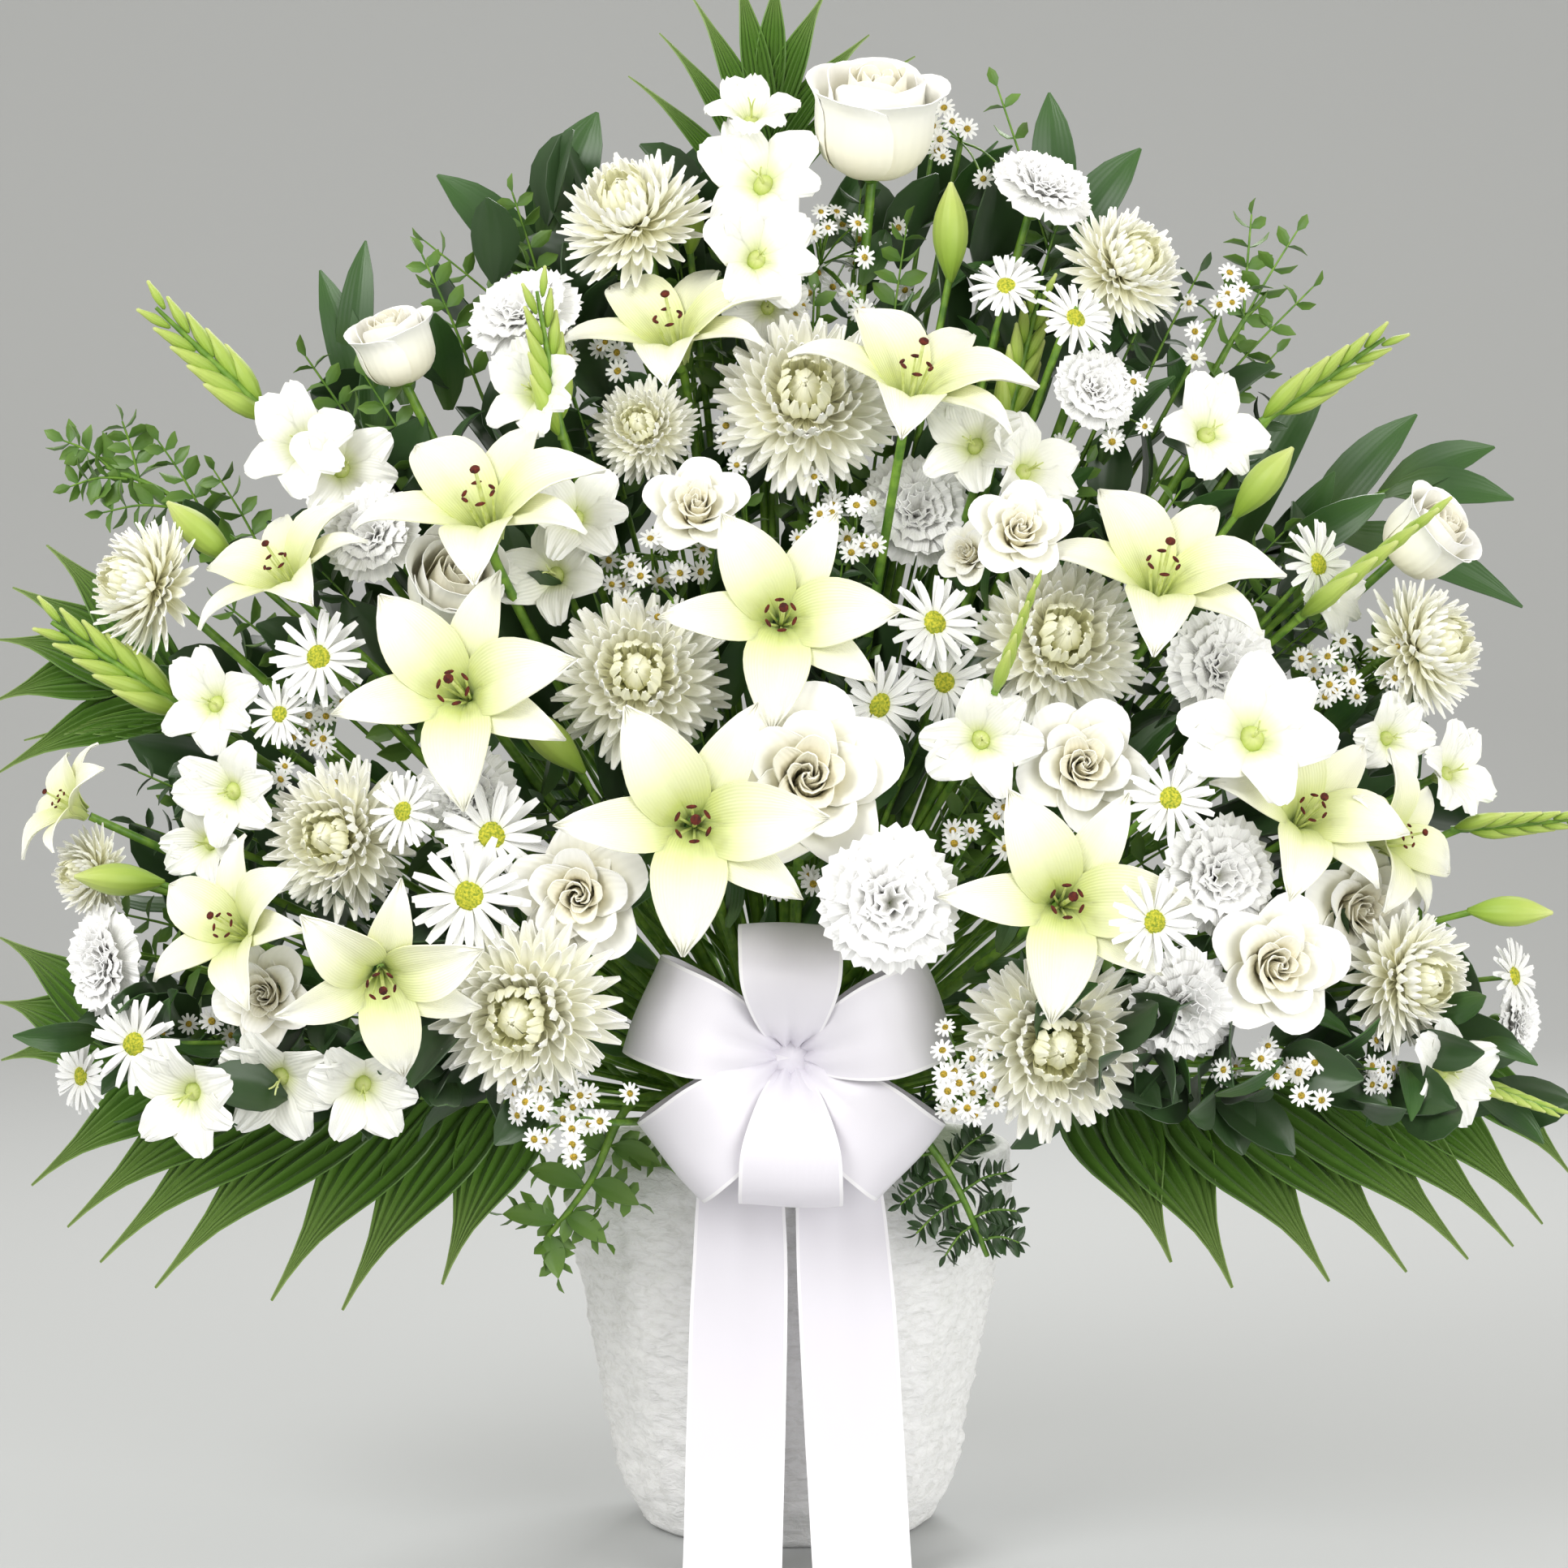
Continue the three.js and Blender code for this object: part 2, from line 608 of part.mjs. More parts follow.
// Greens: each branch is a line of places seen from the front, with depths towards the viewer. Each leaf
// gives its branch, how far along it the leaf grows, its tip, the tip's depth and its half width.
const GREENS = {
  palm_top: {
    branches: [[[-6, 560, -12], [-12, 872, -14]]],
    leaves: [[0, 0.86, [-97, 890], 0, 8], [0, 0.9, [-78, 916], -6, 8], [0, 0.93, [-58, 938], -10, 9],
      [0, 0.96, [-32, 958], -12, 9], [0, 0.99, [-6, 956], -12, 9], [0, 0.97, [24, 942], -12, 10],
      [0, 0.94, [50, 915], -10, 10], [0, 0.9, [78, 902], -6, 9]],
  },
  leaves_left: {
    branches: [[[-128, 610, 0], [-150, 800, -4]], [[-250, 660, 0], [-276, 700, 0]],
      [[-330, 600, -4], [-418, 652, -6]]],
    leaves: [[0, 0.97, [-116, 868], -6, 18], [0, 0.92, [-214, 830], 0, 15], [0, 0.84, [-222, 790], 0, 8],
      [1, 0.9, [-286, 772], -4, 13], [1, 0.97, [-258, 790], -4, 11], [1, 0.8, [-330, 690], 10, 14],
      [2, 0.76, [-352, 650], 0, 8], [2, 0.8, [-392, 608], 6, 8], [2, 0.85, [-386, 668], 0, 8],
      [2, 0.9, [-420, 624], 4, 8], [2, 0.95, [-408, 680], 0, 8], [2, 0.99, [-444, 668], 0, 9],
      [2, 0.97, [-440, 640], 4, 8]],
  },
  leaves_right: {
    branches: [[[250, 560, 0], [372, 640, 0]], [[118, 600, -4], [168, 800, -10]],
      [[250, 690, -6], [292, 756, -8]]],
    leaves: [[0, 0.7, [336, 716], 0, 15], [0, 0.86, [386, 684], 0, 14], [0, 0.98, [434, 664], 0, 12],
      [0, 0.99, [446, 632], 10, 12], [0, 0.9, [452, 566], 20, 13], [0, 0.5, [300, 690], -10, 14],
      [1, 0.97, [160, 880], -10, 14], [1, 0.93, [216, 846], -10, 15], [1, 0.95, [128, 884], -8, 8],
      [2, 0.7, [300, 722], -6, 8], [2, 0.8, [322, 762], -6, 7], [2, 0.95, [284, 806], -6, 8],
      [2, 0.9, [312, 796], -6, 7]],
  },
  palm_left: {
    branches: [[[-150, 264, 84], [-300, 272, 100], [-428, 296, 70]], [[-330, 480, 40], [-408, 524, 30]]],
    leaves: [[0, 0.32, [-214, 146], 128, 17], [0, 0.38, [-276, 130], 128, 18], [0, 0.46, [-320, 136], 122, 18],
      [0, 0.53, [-392, 144], 114, 18], [0, 0.6, [-426, 160], 108, 17], [0, 0.68, [-446, 182], 102, 16],
      [0, 0.78, [-468, 208], 92, 15], [0, 0.92, [-486, 286], 70, 12], [0, 0.97, [-488, 322], 60, 12],
      [0, 0.93, [-486, 362], 50, 12], [1, 0.9, [-455, 604], 20, 12], [1, 0.94, [-476, 578], 20, 11],
      [1, 0.97, [-486, 546], 26, 11], [1, 0.99, [-488, 508], 34, 12], [1, 0.9, [-486, 464], 44, 12],
      [1, 0.8, [-470, 484], 40, 8]],
  },
  palm_right: {
    branches: [[[150, 262, 50], [300, 270, 100], [428, 288, 70]]],
    leaves: [[0, 0.36, [238, 160], 128, 20], [0, 0.42, [276, 144], 128, 20], [0, 0.5, [336, 148], 120, 20],
      [0, 0.57, [384, 154], 112, 18], [0, 0.64, [422, 162], 106, 17], [0, 0.72, [450, 170], 100, 15],
      [0, 0.82, [468, 184], 90, 14], [0, 0.94, [486, 214], 72, 12]],
  },
  fern_rim_right: {
    branches: [[[60, 262, 138], [100, 216, 146], [124, 164, 132]]],
    leaves: [[0, 0.62, [84, 262], 142, 5], [0, 0.66, [62, 214], 146, 5], [0, 0.72, [122, 240], 140, 5],
      [0, 0.74, [70, 196], 146, 5], [0, 0.8, [136, 216], 134, 5], [0, 0.82, [80, 178], 146, 5],
      [0, 0.88, [142, 192], 130, 5], [0, 0.9, [98, 164], 142, 4], [0, 0.95, [144, 172], 128, 4]],
  },
  sprig_rim_left: {
    branches: [[[-92, 262, 128], [-122, 210, 132], [-150, 174, 122]]],
    leaves: [[0, 0.66, [-78, 220], 134, 7], [0, 0.68, [-136, 250], 120, 7], [0, 0.78, [-92, 196], 138, 7],
      [0, 0.8, [-160, 218], 116, 7], [0, 0.9, [-112, 172], 136, 7], [0, 0.93, [-176, 190], 116, 7],
      [0, 0.98, [-142, 150], 130, 7]],
  },
  salal_back: {
    branches: [[[-60, 380, -70], [-120, 540, -66]], [[40, 500, -60], [110, 640, -56]],
      [[-250, 330, -40], [-300, 380, -36]], [[250, 330, -40], [310, 400, -36]]],
    leaves: [[0, 0.6, [-20, 470], -84, 34], [0, 0.98, [-150, 660], -50, 34], [0, 0.8, [-220, 560], -50, 32],
      [1, 0.98, [140, 740], -34, 32], [1, 0.7, [210, 600], -50, 34], [1, 0.6, [20, 670], -50, 30],
      [2, 0.98, [-380, 470], -20, 32], [3, 0.98, [390, 480], -20, 32]],
  },
};
const BRANCH_RADIUS = 2.4;

function along(line, share) {
  const lengths = line.slice(1).map((point, i) => point.distanceTo(line[i]));
  let left = share * lengths.reduce((sum, one) => sum + one, 0);
  for (let i = 0; i < lengths.length; i++) {
    if (left <= lengths[i]) return line[i].clone().lerp(line[i + 1], left / lengths[i]);
    left -= lengths[i];
  }
  return line[line.length - 1].clone();
}

function greenery({ branches, leaves }) {
  const parts = [];
  const lines = [];
  branches.forEach((places, i) => {
    const points = places.map(([x, z, depth]) => seen([x, z], depth));
    const way = points[0].clone().sub(HUB).normalize();
    const start = i ? HUB.clone().addScaledVector(lines[0][1].clone().sub(HUB).normalize(), FORK) : HUB.clone().addScaledVector(way, STEM_START);
    lines.push([start, ...points]);
    parts.push(solid(rod([start, ...points], i ? BRANCH_RADIUS : TRUNK_RADIUS, 1.8)));
    if (!i) foamHole(way, TRUNK_RADIUS);
  });
  leaves.forEach(([branch, share, place, depth, halfWidth]) => {
    const foot = along(lines[branch] || lines[0], share);
    const tip = seen(place, depth);
    const way = tip.clone().sub(foot);
    const bulge = vec(0, -0.05, 0.07).multiplyScalar(way.length());
    const side = way.clone().cross(vec(0, depth < -20 ? 1 : -1, 0.25)).normalize();
    const small = halfWidth < 10;
    const shares = small ? [0.45] : [0.32, 0.68];
    const rib = [foot, ...shares.map((part) => foot.clone().lerp(tip, part).add(bulge)), tip];
    const widths = small ? [0, halfWidth, 0] : [0, 0.9 * halfWidth, 0.8 * halfWidth, 0];
    parts.push(solid(blade(rib, widths, side, 1.4, 0.2)));
  });
  return fuse(parts);
}

// Vase: one skin from under the foot, up the fluted wall, over the rim and down the inside.
function vase() {
  const wall = [[0, FOOT_RADIUS, 0], [6, FOOT_RADIUS + 10, 0.3], [32, 100, 1], [80, 109, 1], [130, 118, 1],
    [182, 127, 1], [226, RIM_RADIUS - 1, 0.6], [VASE_HEIGHT - 2, RIM_RADIUS, 0]];
  const fluted = (height, radius, share) => ({
    at: (j) => [radius + share * FLUTE_DEPTH * Math.cos((2 * Math.PI * j) / 3), height],
  });
  const rows = [pole(0)];
  wall.forEach(([height, radius, share]) => rows.push(fluted(height, radius, share)));
  rows.push(round(RIM_RADIUS - 3, VASE_HEIGHT));
  rows.push(round(RIM_RADIUS - VASE_WALL - 2, VASE_HEIGHT - 3));
  rows.push(round(100 - VASE_WALL - 2, 34));
  rows.push(round(FOOT_RADIUS, VASE_FLOOR));
  rows.push(pole(VASE_FLOOR));
  return solid(loft(turned(rows, 3 * FLUTES)));
}

// Foam: it stands on the vase's floor, with a plain hole for each trunk.
function foam() {
  const rows = [pole(VASE_FLOOR + GAP), round(FOAM_RADIUS, VASE_FLOOR + GAP), round(FOAM_RADIUS, FOAM_TOP),
    pole(FOAM_TOP)];
  return holes.reduce((block, hole) => block.subtract(hole), solid(loft(turned(rows, 12))));
}

// Bow: six loops of ribbon gathered at a knot, on a pick that stands in the foam.
const LOOPS = [
  { way: [0, 1], length: 78 }, { way: [-0.9, 0.34], length: 92 }, { way: [0.9, 0.34], length: 92 },
  { way: [-0.72, -0.62], length: 92 }, { way: [0, -1], length: 84 }, { way: [0.72, -0.62], length: 92 },
];
const LOOP_BULGE = 40;
const KNOT_WIDTH = 10;

function bow() {
  const parts = LOOPS.map(({ way, length }, k) => {
    const out = vec(way[0], 0, way[1]).normalize();
    const front = k % 2 ? LOOP_BULGE : LOOP_BULGE + 8;
    const at = (share, depth) => KNOT.clone().addScaledVector(out, share * length).add(vec(0, -depth, 0));
    const path = [at(0.12, 5), at(0.24, 0.66 * front), at(0.56, front), at(0.86, 0.86 * front), at(1, 0.44 * front),
      at(0.86, 0.04 * front), at(0.44, -0.08 * front), at(0.12, -4)];
    const widths = [KNOT_WIDTH, 22, 50, RIBBON, RIBBON, RIBBON, 38, KNOT_WIDTH];
    const side = out.clone().cross(vec(0, 1, 0));
    return solid(strip(path, widths, side));
  });
  const knot = [pole(-9), round(15, -7), round(17, 0), round(15, 7), pole(9)];
  parts.push(solid(loft(turned(knot, 8)).rotateX(Math.PI / 2).translate(...KNOT.toArray())));
  const pick = KNOT.clone().sub(HUB).normalize();
  parts.push(solid(rod([HUB.clone().addScaledVector(pick, STEM_START), KNOT], 2.4)));
  foamHole(pick, 2.4);
  return fuse(parts);
}

// Tails: two lengths of ribbon held against the back of the knot. They fall before the vase and lie
// forward along the surface.
const TAIL_TOP = 300;
function tails() {
  const lay = CLOTH / 2;
  const ends = [[-5, -25, -33], [9, 27, 46]].map(([knot, top, foot]) => {
    const across = (share) => top + (foot - top) * share;
    const path = [
      vec(knot, -163.4, TAIL_TOP), vec(across(0), -149, 252), vec(across(0.35), -149, 180),
      vec(across(0.6), -154, 100), vec(across(0.8), -160, 34), vec(across(0.88), -168, 9),
      vec(across(0.92), -180, lay + 0.6), vec(across(0.96), -200, lay), vec(across(1), -262, lay),
    ];
    return solid(strip(path, [22, 46, 53, 56, 56, 56, 56, 56, 56], vec(1, 0, 0)));
  });
  return fuse(ends);
}

const group = new THREE.Group();
group.name = "funeral_vase_arrangement";
function addPiece(name, made, look) {
  const { numProp, vertProperties, triVerts } = made.getMesh();
  const geometry = new THREE.BufferGeometry();
  geometry.setAttribute("position", new THREE.BufferAttribute(new Float32Array(vertProperties), numProp));
  geometry.setIndex(new THREE.BufferAttribute(new Uint32Array(triVerts), 1));
  const mesh = new THREE.Mesh(geometry, look);
  mesh.name = name;
  group.add(mesh);
}

const petals = material(WHITE, 0.6);
const leafGreen = material(LEAF, 0.5);
for (const [name, heads] of Object.entries(STEMS)) addPiece(name, flowerStem(heads), petals);
for (const [name, clusters] of Object.entries(SPRAYS)) addPiece(name, asterSpray(clusters), petals);
for (const [name, green] of Object.entries(GREENS)) addPiece(name, greenery(green), leafGreen);
addPiece("bow", bow(), material(0xefecf6, 0.35));
addPiece("bow_tails", tails(), material(0xefecf6, 0.35));
addPiece("floral_foam", foam(), material(WET_FOAM, 0.9));
addPiece("vase", vase(), material(0xf1f1ee, 0.85));

export default group;
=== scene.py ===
"""Funeral vase arrangement: a one-sided fan of white flowers and palm in a white papier-mache vase, with a
satin bow. Metres, +Z up. The flowers face -Y, and the origin is the middle of the vase's foot."""
import math
import random

import bpy
from mathutils import Matrix, Vector, noise


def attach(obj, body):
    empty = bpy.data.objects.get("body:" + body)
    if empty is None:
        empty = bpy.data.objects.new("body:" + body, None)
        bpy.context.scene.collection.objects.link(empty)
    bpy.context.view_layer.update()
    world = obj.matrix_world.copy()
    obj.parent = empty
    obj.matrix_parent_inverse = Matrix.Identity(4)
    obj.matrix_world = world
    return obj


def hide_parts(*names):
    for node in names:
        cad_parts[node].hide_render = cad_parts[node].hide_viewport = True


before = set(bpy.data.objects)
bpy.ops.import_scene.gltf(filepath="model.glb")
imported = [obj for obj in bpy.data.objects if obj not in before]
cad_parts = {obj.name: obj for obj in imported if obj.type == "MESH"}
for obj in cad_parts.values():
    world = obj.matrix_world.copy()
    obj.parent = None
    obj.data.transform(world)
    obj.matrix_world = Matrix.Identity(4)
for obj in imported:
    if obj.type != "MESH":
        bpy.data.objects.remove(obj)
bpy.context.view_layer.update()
bpy.ops.object.select_all(action="DESELECT")
chance = random.Random(4)

# Camera
# The photographer is taken to have stood 2.8 m off, with the lens a little above the middle of the flowers.
# The frame is 0.966 m wide at the vase, and it cuts off the ribbon's ends and the tips of the top palm.
VIEWER = Vector((0.0, -2.8, 0.62))
camera_data = bpy.data.cameras.new("photo_camera")
camera_data.lens = 104.5
camera_data.sensor_width = 36.0
camera = bpy.data.objects.new("photo_camera", camera_data)
camera.location = VIEWER
camera.rotation_euler = (Vector((-0.002, 0.0, 0.457)) - VIEWER).to_track_quat("-Z", "Y").to_euler()
bpy.context.collection.objects.link(camera)
bpy.context.scene.camera = camera
bpy.context.scene.view_settings.view_transform = "Standard"


# Floor and lights
# A roll of pale grey background paper, swept up behind the vase. A large soft box stands high on the left,
# a second fills the right, and a smaller one behind picks out the petals' edges.
def linear(colour):
    """An sRGB hex colour as the linear red, green, blue and alpha that a shader takes."""
    parts = [int(colour[k:k + 2], 16) / 255 for k in (1, 3, 5)]
    return [part / 12.92 if part <= 0.04045 else ((part + 0.055) / 1.055) ** 2.4 for part in parts] + [1.0]


def add_node(tree, kind, inputs=(), stops=(), **settings):
    """Adds a node. Its inputs take a value or another node's socket, and a ramp takes (place, hex) stops."""
    made = tree.nodes.new(kind)
    for key, value in settings.items():
        setattr(made, key, value)
    for key, value in dict(inputs).items():
        if isinstance(value, bpy.types.NodeSocket):
            tree.links.new(value, made.inputs[key])
        else:
            made.inputs[key].default_value = value
    if stops:
        ramp = made.color_ramp
        while len(ramp.elements) < len(stops):
            ramp.elements.new(0.5)
        for element, (place, colour) in zip(ramp.elements, stops):
            element.position, element.color = place, linear(colour)
    return made


def finish_tree(name):
    finish = bpy.data.materials.new(name)
    finish.use_nodes = True
    finish.node_tree.nodes.clear()
    return finish, finish.node_tree


def close_tree(tree, **inputs):
    named = {key.replace("_", " "): value for key, value in inputs.items()}
    shader = add_node(tree, "ShaderNodeBsdfPrincipled", named)
    add_node(tree, "ShaderNodeOutputMaterial", {"Surface": shader.outputs[0]})


paper, tree = finish_tree("background_paper")
close_tree(tree, Base_Color=linear("#bdbfbf"), Roughness=0.9)
bpy.ops.mesh.primitive_plane_add(size=9, location=(0, -0.5, 0))
floor = bpy.context.object
floor.name = "floor"
floor.data.transform(Matrix.Translation(floor.location))
floor.location = (0, 0, 0)
for edge in floor.data.edges:
    edge.select = all(floor.data.vertices[v].co.y > 0 for v in edge.vertices)
for vertex in floor.data.vertices:
    vertex.select = vertex.co.y > 0
floor.data.polygons[0].select = False
bpy.ops.object.mode_set(mode="EDIT")
bpy.ops.mesh.select_mode(type="EDGE")
bpy.ops.mesh.extrude_region_move(TRANSFORM_OT_translate={"value": (0, 0, 5)})
bpy.ops.object.mode_set(mode="OBJECT")
sweep = floor.modifiers.new("sweep", "BEVEL")
sweep.width, sweep.segments = 1.5, 16
bpy.ops.object.modifier_apply(modifier="sweep")
bpy.ops.object.shade_smooth()
floor.data.materials.append(paper)

for name, spot, size, watts in (("key", (-1.9, -2.4, 2.3), 1.6, 66), ("fill", (1.9, -2.7, 0.8), 2.0, 50),
                                ("rim", (0.5, 1.6, 2.2), 1.2, 34)):
    light_data = bpy.data.lights.new(name + "_light", "AREA")
    light_data.size, light_data.energy = size, watts
    light = bpy.data.objects.new(name + "_light", light_data)
    light.location = spot
    light.rotation_euler = (Vector((0, 0, 0.45)) - light.location).to_track_quat("-Z", "Y").to_euler()
    bpy.context.collection.objects.link(light)
world = bpy.data.worlds.new("studio")
world.use_nodes = True
world.node_tree.nodes["Background"].inputs[0].default_value = linear("#f3f0ea")
world.node_tree.nodes["Background"].inputs[1].default_value = 0.8
bpy.context.scene.world = world


# Vase
# A florist's papier-mache pot, pressed in a mould with eight soft flutes and painted white. The pulp dries
# crinkled, so the paint breaks up the light, and a 6 mm wall rolls over at the rim.
FOOT_RADIUS, RIM_RADIUS, VASE_HEIGHT, WALL = 0.084, 0.137, 0.236, 0.006
VASE_FLOOR, ROLL = 0.008, 0.002
WALL_FOOT, WALL_RISE, WALL_ROWS = 0.004, VASE_HEIGHT - 0.006, 62
FLUTES, FLUTE_DEPTH = 8, 0.0022
PROFILE = [0.090, 0.0985, 0.1025, 0.1055, 0.109, 0.1125, 0.116, 0.1195, 0.123, 0.1262, 0.1295, 0.1328,
           0.1362, 0.137]


def glide(values, share):
    """Passes smoothly through evenly spaced values, from the first at share 0 to the last at share 1."""
    place = min(max(share, 0.0), 1.0) * (len(values) - 1)
    k = min(int(place), len(values) - 2)
    t = place - k
    a, b, c, d = (values[min(max(k + step, 0), len(values) - 1)] for step in (-1, 0, 1, 2))
    return b + 0.5 * t * ((c - a) + t * ((2 * a - 5 * b + 4 * c - d) + t * (3 * (b - c) + d - a)))


def adopt(piece, node):
    """Makes a dressed piece ride with the part and stand for its plain solid."""
    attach(piece, "root")
    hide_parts(node)


pulp, tree = finish_tree("painted_pulp")
place = add_node(tree, "ShaderNodeTexCoord").outputs["Object"]
wide = add_node(tree, "ShaderNodeMapping", {"Vector": place, "Scale": (1.0, 1.0, 2.2)})
crinkle = add_node(tree, "ShaderNodeTexNoise", {"Vector": wide.outputs[0], "Scale": 110.0, "Detail": 6.0,
                                                "Roughness": 0.62, "Distortion": 0.8})
shade = add_node(tree, "ShaderNodeValToRGB", {0: crinkle.outputs[0]}, ((0.3, "#ededeb"), (0.55, "#ffffff")))
bump = add_node(tree, "ShaderNodeBump", {"Strength": 0.8, "Distance": 0.0022, "Height": crinkle.outputs[0]})
close_tree(tree, Base_Color=shade.outputs[0], Roughness=0.82, Normal=bump.outputs[0])

bpy.ops.mesh.primitive_circle_add(vertices=208, radius=FOOT_RADIUS)
vase = bpy.context.object
vase.name = vase.data.name = "vase_dressed"
outside = [(glide(PROFILE, k / WALL_ROWS), WALL_FOOT + WALL_RISE * k / WALL_ROWS)
           for k in range(WALL_ROWS + 1)]
inside = [(RIM_RADIUS - ROLL, VASE_HEIGHT - 0.0004), (RIM_RADIUS - 0.005, VASE_HEIGHT)]
inside += [(RIM_RADIUS - WALL - ROLL, 0.233)]
inside += [(0.129 - 0.037 * k / 10, 0.233 - 0.199 * k / 10) for k in range(1, 11)]
inside += [(0.084, VASE_FLOOR), (0.001, VASE_FLOOR)]
bpy.ops.object.mode_set(mode="EDIT")
bpy.ops.mesh.select_all(action="SELECT")
radius, height = FOOT_RADIUS, 0.0
for new_radius, new_height in outside + inside:
    bpy.ops.mesh.extrude_region_move(TRANSFORM_OT_translate={"value": (0, 0, new_height - height)})
    bpy.ops.transform.resize(value=(new_radius / radius, new_radius / radius, 1))
    radius, height = new_radius, new_height
bpy.ops.mesh.merge(type="CENTER")
bpy.ops.mesh.select_all(action="DESELECT")
bpy.ops.object.mode_set(mode="OBJECT")
for vertex in vase.data.vertices:
    vertex.select = vertex.co.z < 0.0001
bpy.ops.object.mode_set(mode="EDIT")
bpy.ops.mesh.edge_face_add()
bpy.ops.mesh.select_all(action="SELECT")
bpy.ops.mesh.normals_make_consistent(inside=False)
bpy.ops.object.mode_set(mode="OBJECT")
for vertex in vase.data.vertices:
    spot = vertex.co
    flat = math.hypot(spot.x, spot.y)
    wall = glide(PROFILE, (spot.z - WALL_FOOT) / WALL_RISE)
    if flat < wall - 0.0015 or spot.z < 0.003:
        continue
    angle = math.atan2(spot.y, spot.x)
    share = min(1.0, spot.z / 0.04, (VASE_HEIGHT + 0.002 - spot.z) / 0.03)
    seam = 0.0022 * math.exp(-((FLUTES * angle / math.tau + 0.5) % 1 - 0.5) ** 2 / 0.0012)
    crumple = 0.0024 * noise.noise(Vector((spot.x * 60, spot.y * 60, spot.z * 130)))
    crumple += 0.0012 * noise.noise(Vector((spot.x * 190, spot.y * 190, spot.z * 260)))
    push = share * (FLUTE_DEPTH * math.cos(FLUTES * angle) + seam) + 0.6 * crumple + 0.4 * share * crumple
    spot.x, spot.y = spot.x * (1 + push / flat), spot.y * (1 + push / flat)
bpy.ops.object.shade_smooth()
vase.data.materials.append(pulp)
adopt(vase, "vase")

# Floral foam
# A soaked block of green phenolic foam, wedged in the vase. Its fine open cells crumble at the cut edges.
foam_green, tree = finish_tree("wet_foam")
place = add_node(tree, "ShaderNodeTexCoord").outputs["Object"]
cells = add_node(tree, "ShaderNodeTexVoronoi", {"Vector": place, "Scale": 420.0})
shade = add_node(tree, "ShaderNodeValToRGB", {0: cells.outputs[0]}, ((0.1, "#3c5a2a"), (0.7, "#6d8c45")))
bump = add_node(tree, "ShaderNodeBump", {"Strength": 0.7, "Distance": 0.001, "Height": cells.outputs[0]})
close_tree(tree, Base_Color=shade.outputs[0], Roughness=0.95, Normal=bump.outputs[0])
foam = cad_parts["floral_foam"]
foam.data.materials.clear()
foam.data.materials.append(foam_green)


# Lilies
# Oriental lilies: six waxy tepals from a green throat, three broad ones over three narrow ones, with six
# rust-brown anthers round a long pistil. Seven green buds stand among them.
HUB = Vector((0.0, 0.0, 0.252))     # every stem points at this place in the foam
STEM_START, FORK, TRUNK_RADIUS = 0.052, 0.096, 0.0034


def petal_finish(name, stops, veins=22, gloss=0.5, streak="#f0f2dc", relief=0.0003, glow=0.3):
    """A petal: soft, waxy and a little see-through, coloured from its foot to its tip, with fine veins."""
    finish, tree = finish_tree(name)
    grid = add_node(tree, "ShaderNodeUVMap", uv_map="UVMap")
    way = add_node(tree, "ShaderNodeSeparateXYZ", {0: grid.outputs[0]})
    ramp = add_node(tree, "ShaderNodeValToRGB", {0: way.outputs[1]}, stops)
    ribs = add_node(tree, "ShaderNodeMath", {0: way.outputs[0], 1: veins * 2 * math.pi}, operation="MULTIPLY")
    wave = add_node(tree, "ShaderNodeMath", {0: ribs.outputs[0]}, operation="SINE")
    place = add_node(tree, "ShaderNodeTexCoord").outputs["Object"]
    mottle = add_node(tree, "ShaderNodeTexNoise", {"Vector": place, "Scale": 90.0, "Detail": 3.0})
    share = add_node(tree, "ShaderNodeMath", {0: mottle.outputs[0], 1: 0.34}, operation="MULTIPLY")
    # Sockets 6 and 7 of the mixing node are its two colours, and socket 2 of its results is the mixed one.
    colour = add_node(tree, "ShaderNodeMix", {0: share.outputs[0], 6: ramp.outputs[0], 7: linear(streak)},
                      data_type="RGBA")
    bump = add_node(tree, "ShaderNodeBump", {"Strength": 0.25, "Distance": relief, "Height": wave.outputs[0]})
    close_tree(tree, Base_Color=colour.outputs[2], Roughness=gloss, Normal=bump.outputs[0],
               Subsurface_Weight=glow, Subsurface_Radius=(1.0, 0.96, 0.88), Subsurface_Scale=0.001,
               Sheen_Weight=0.1)
    return finish


def plain_finish(name, dark, light, grain=60.0, gloss=0.5, depth=0.0005):
    """A plant's skin: two shades mottled together, with a slight unevenness."""
    finish, tree = finish_tree(name)
    place = add_node(tree, "ShaderNodeTexCoord").outputs["Object"]
    mottle = add_node(tree, "ShaderNodeTexNoise", {"Vector": place, "Scale": grain, "Detail": 4.0})
    ramp = add_node(tree, "ShaderNodeValToRGB", {0: mottle.outputs[0]}, ((0.35, dark), (0.65, light)))
    bump = add_node(tree, "ShaderNodeBump", {"Strength": 0.4, "Distance": depth, "Height": mottle.outputs[0]})
    close_tree(tree, Base_Color=ramp.outputs[0], Roughness=gloss, Normal=bump.outputs[0])
    return finish


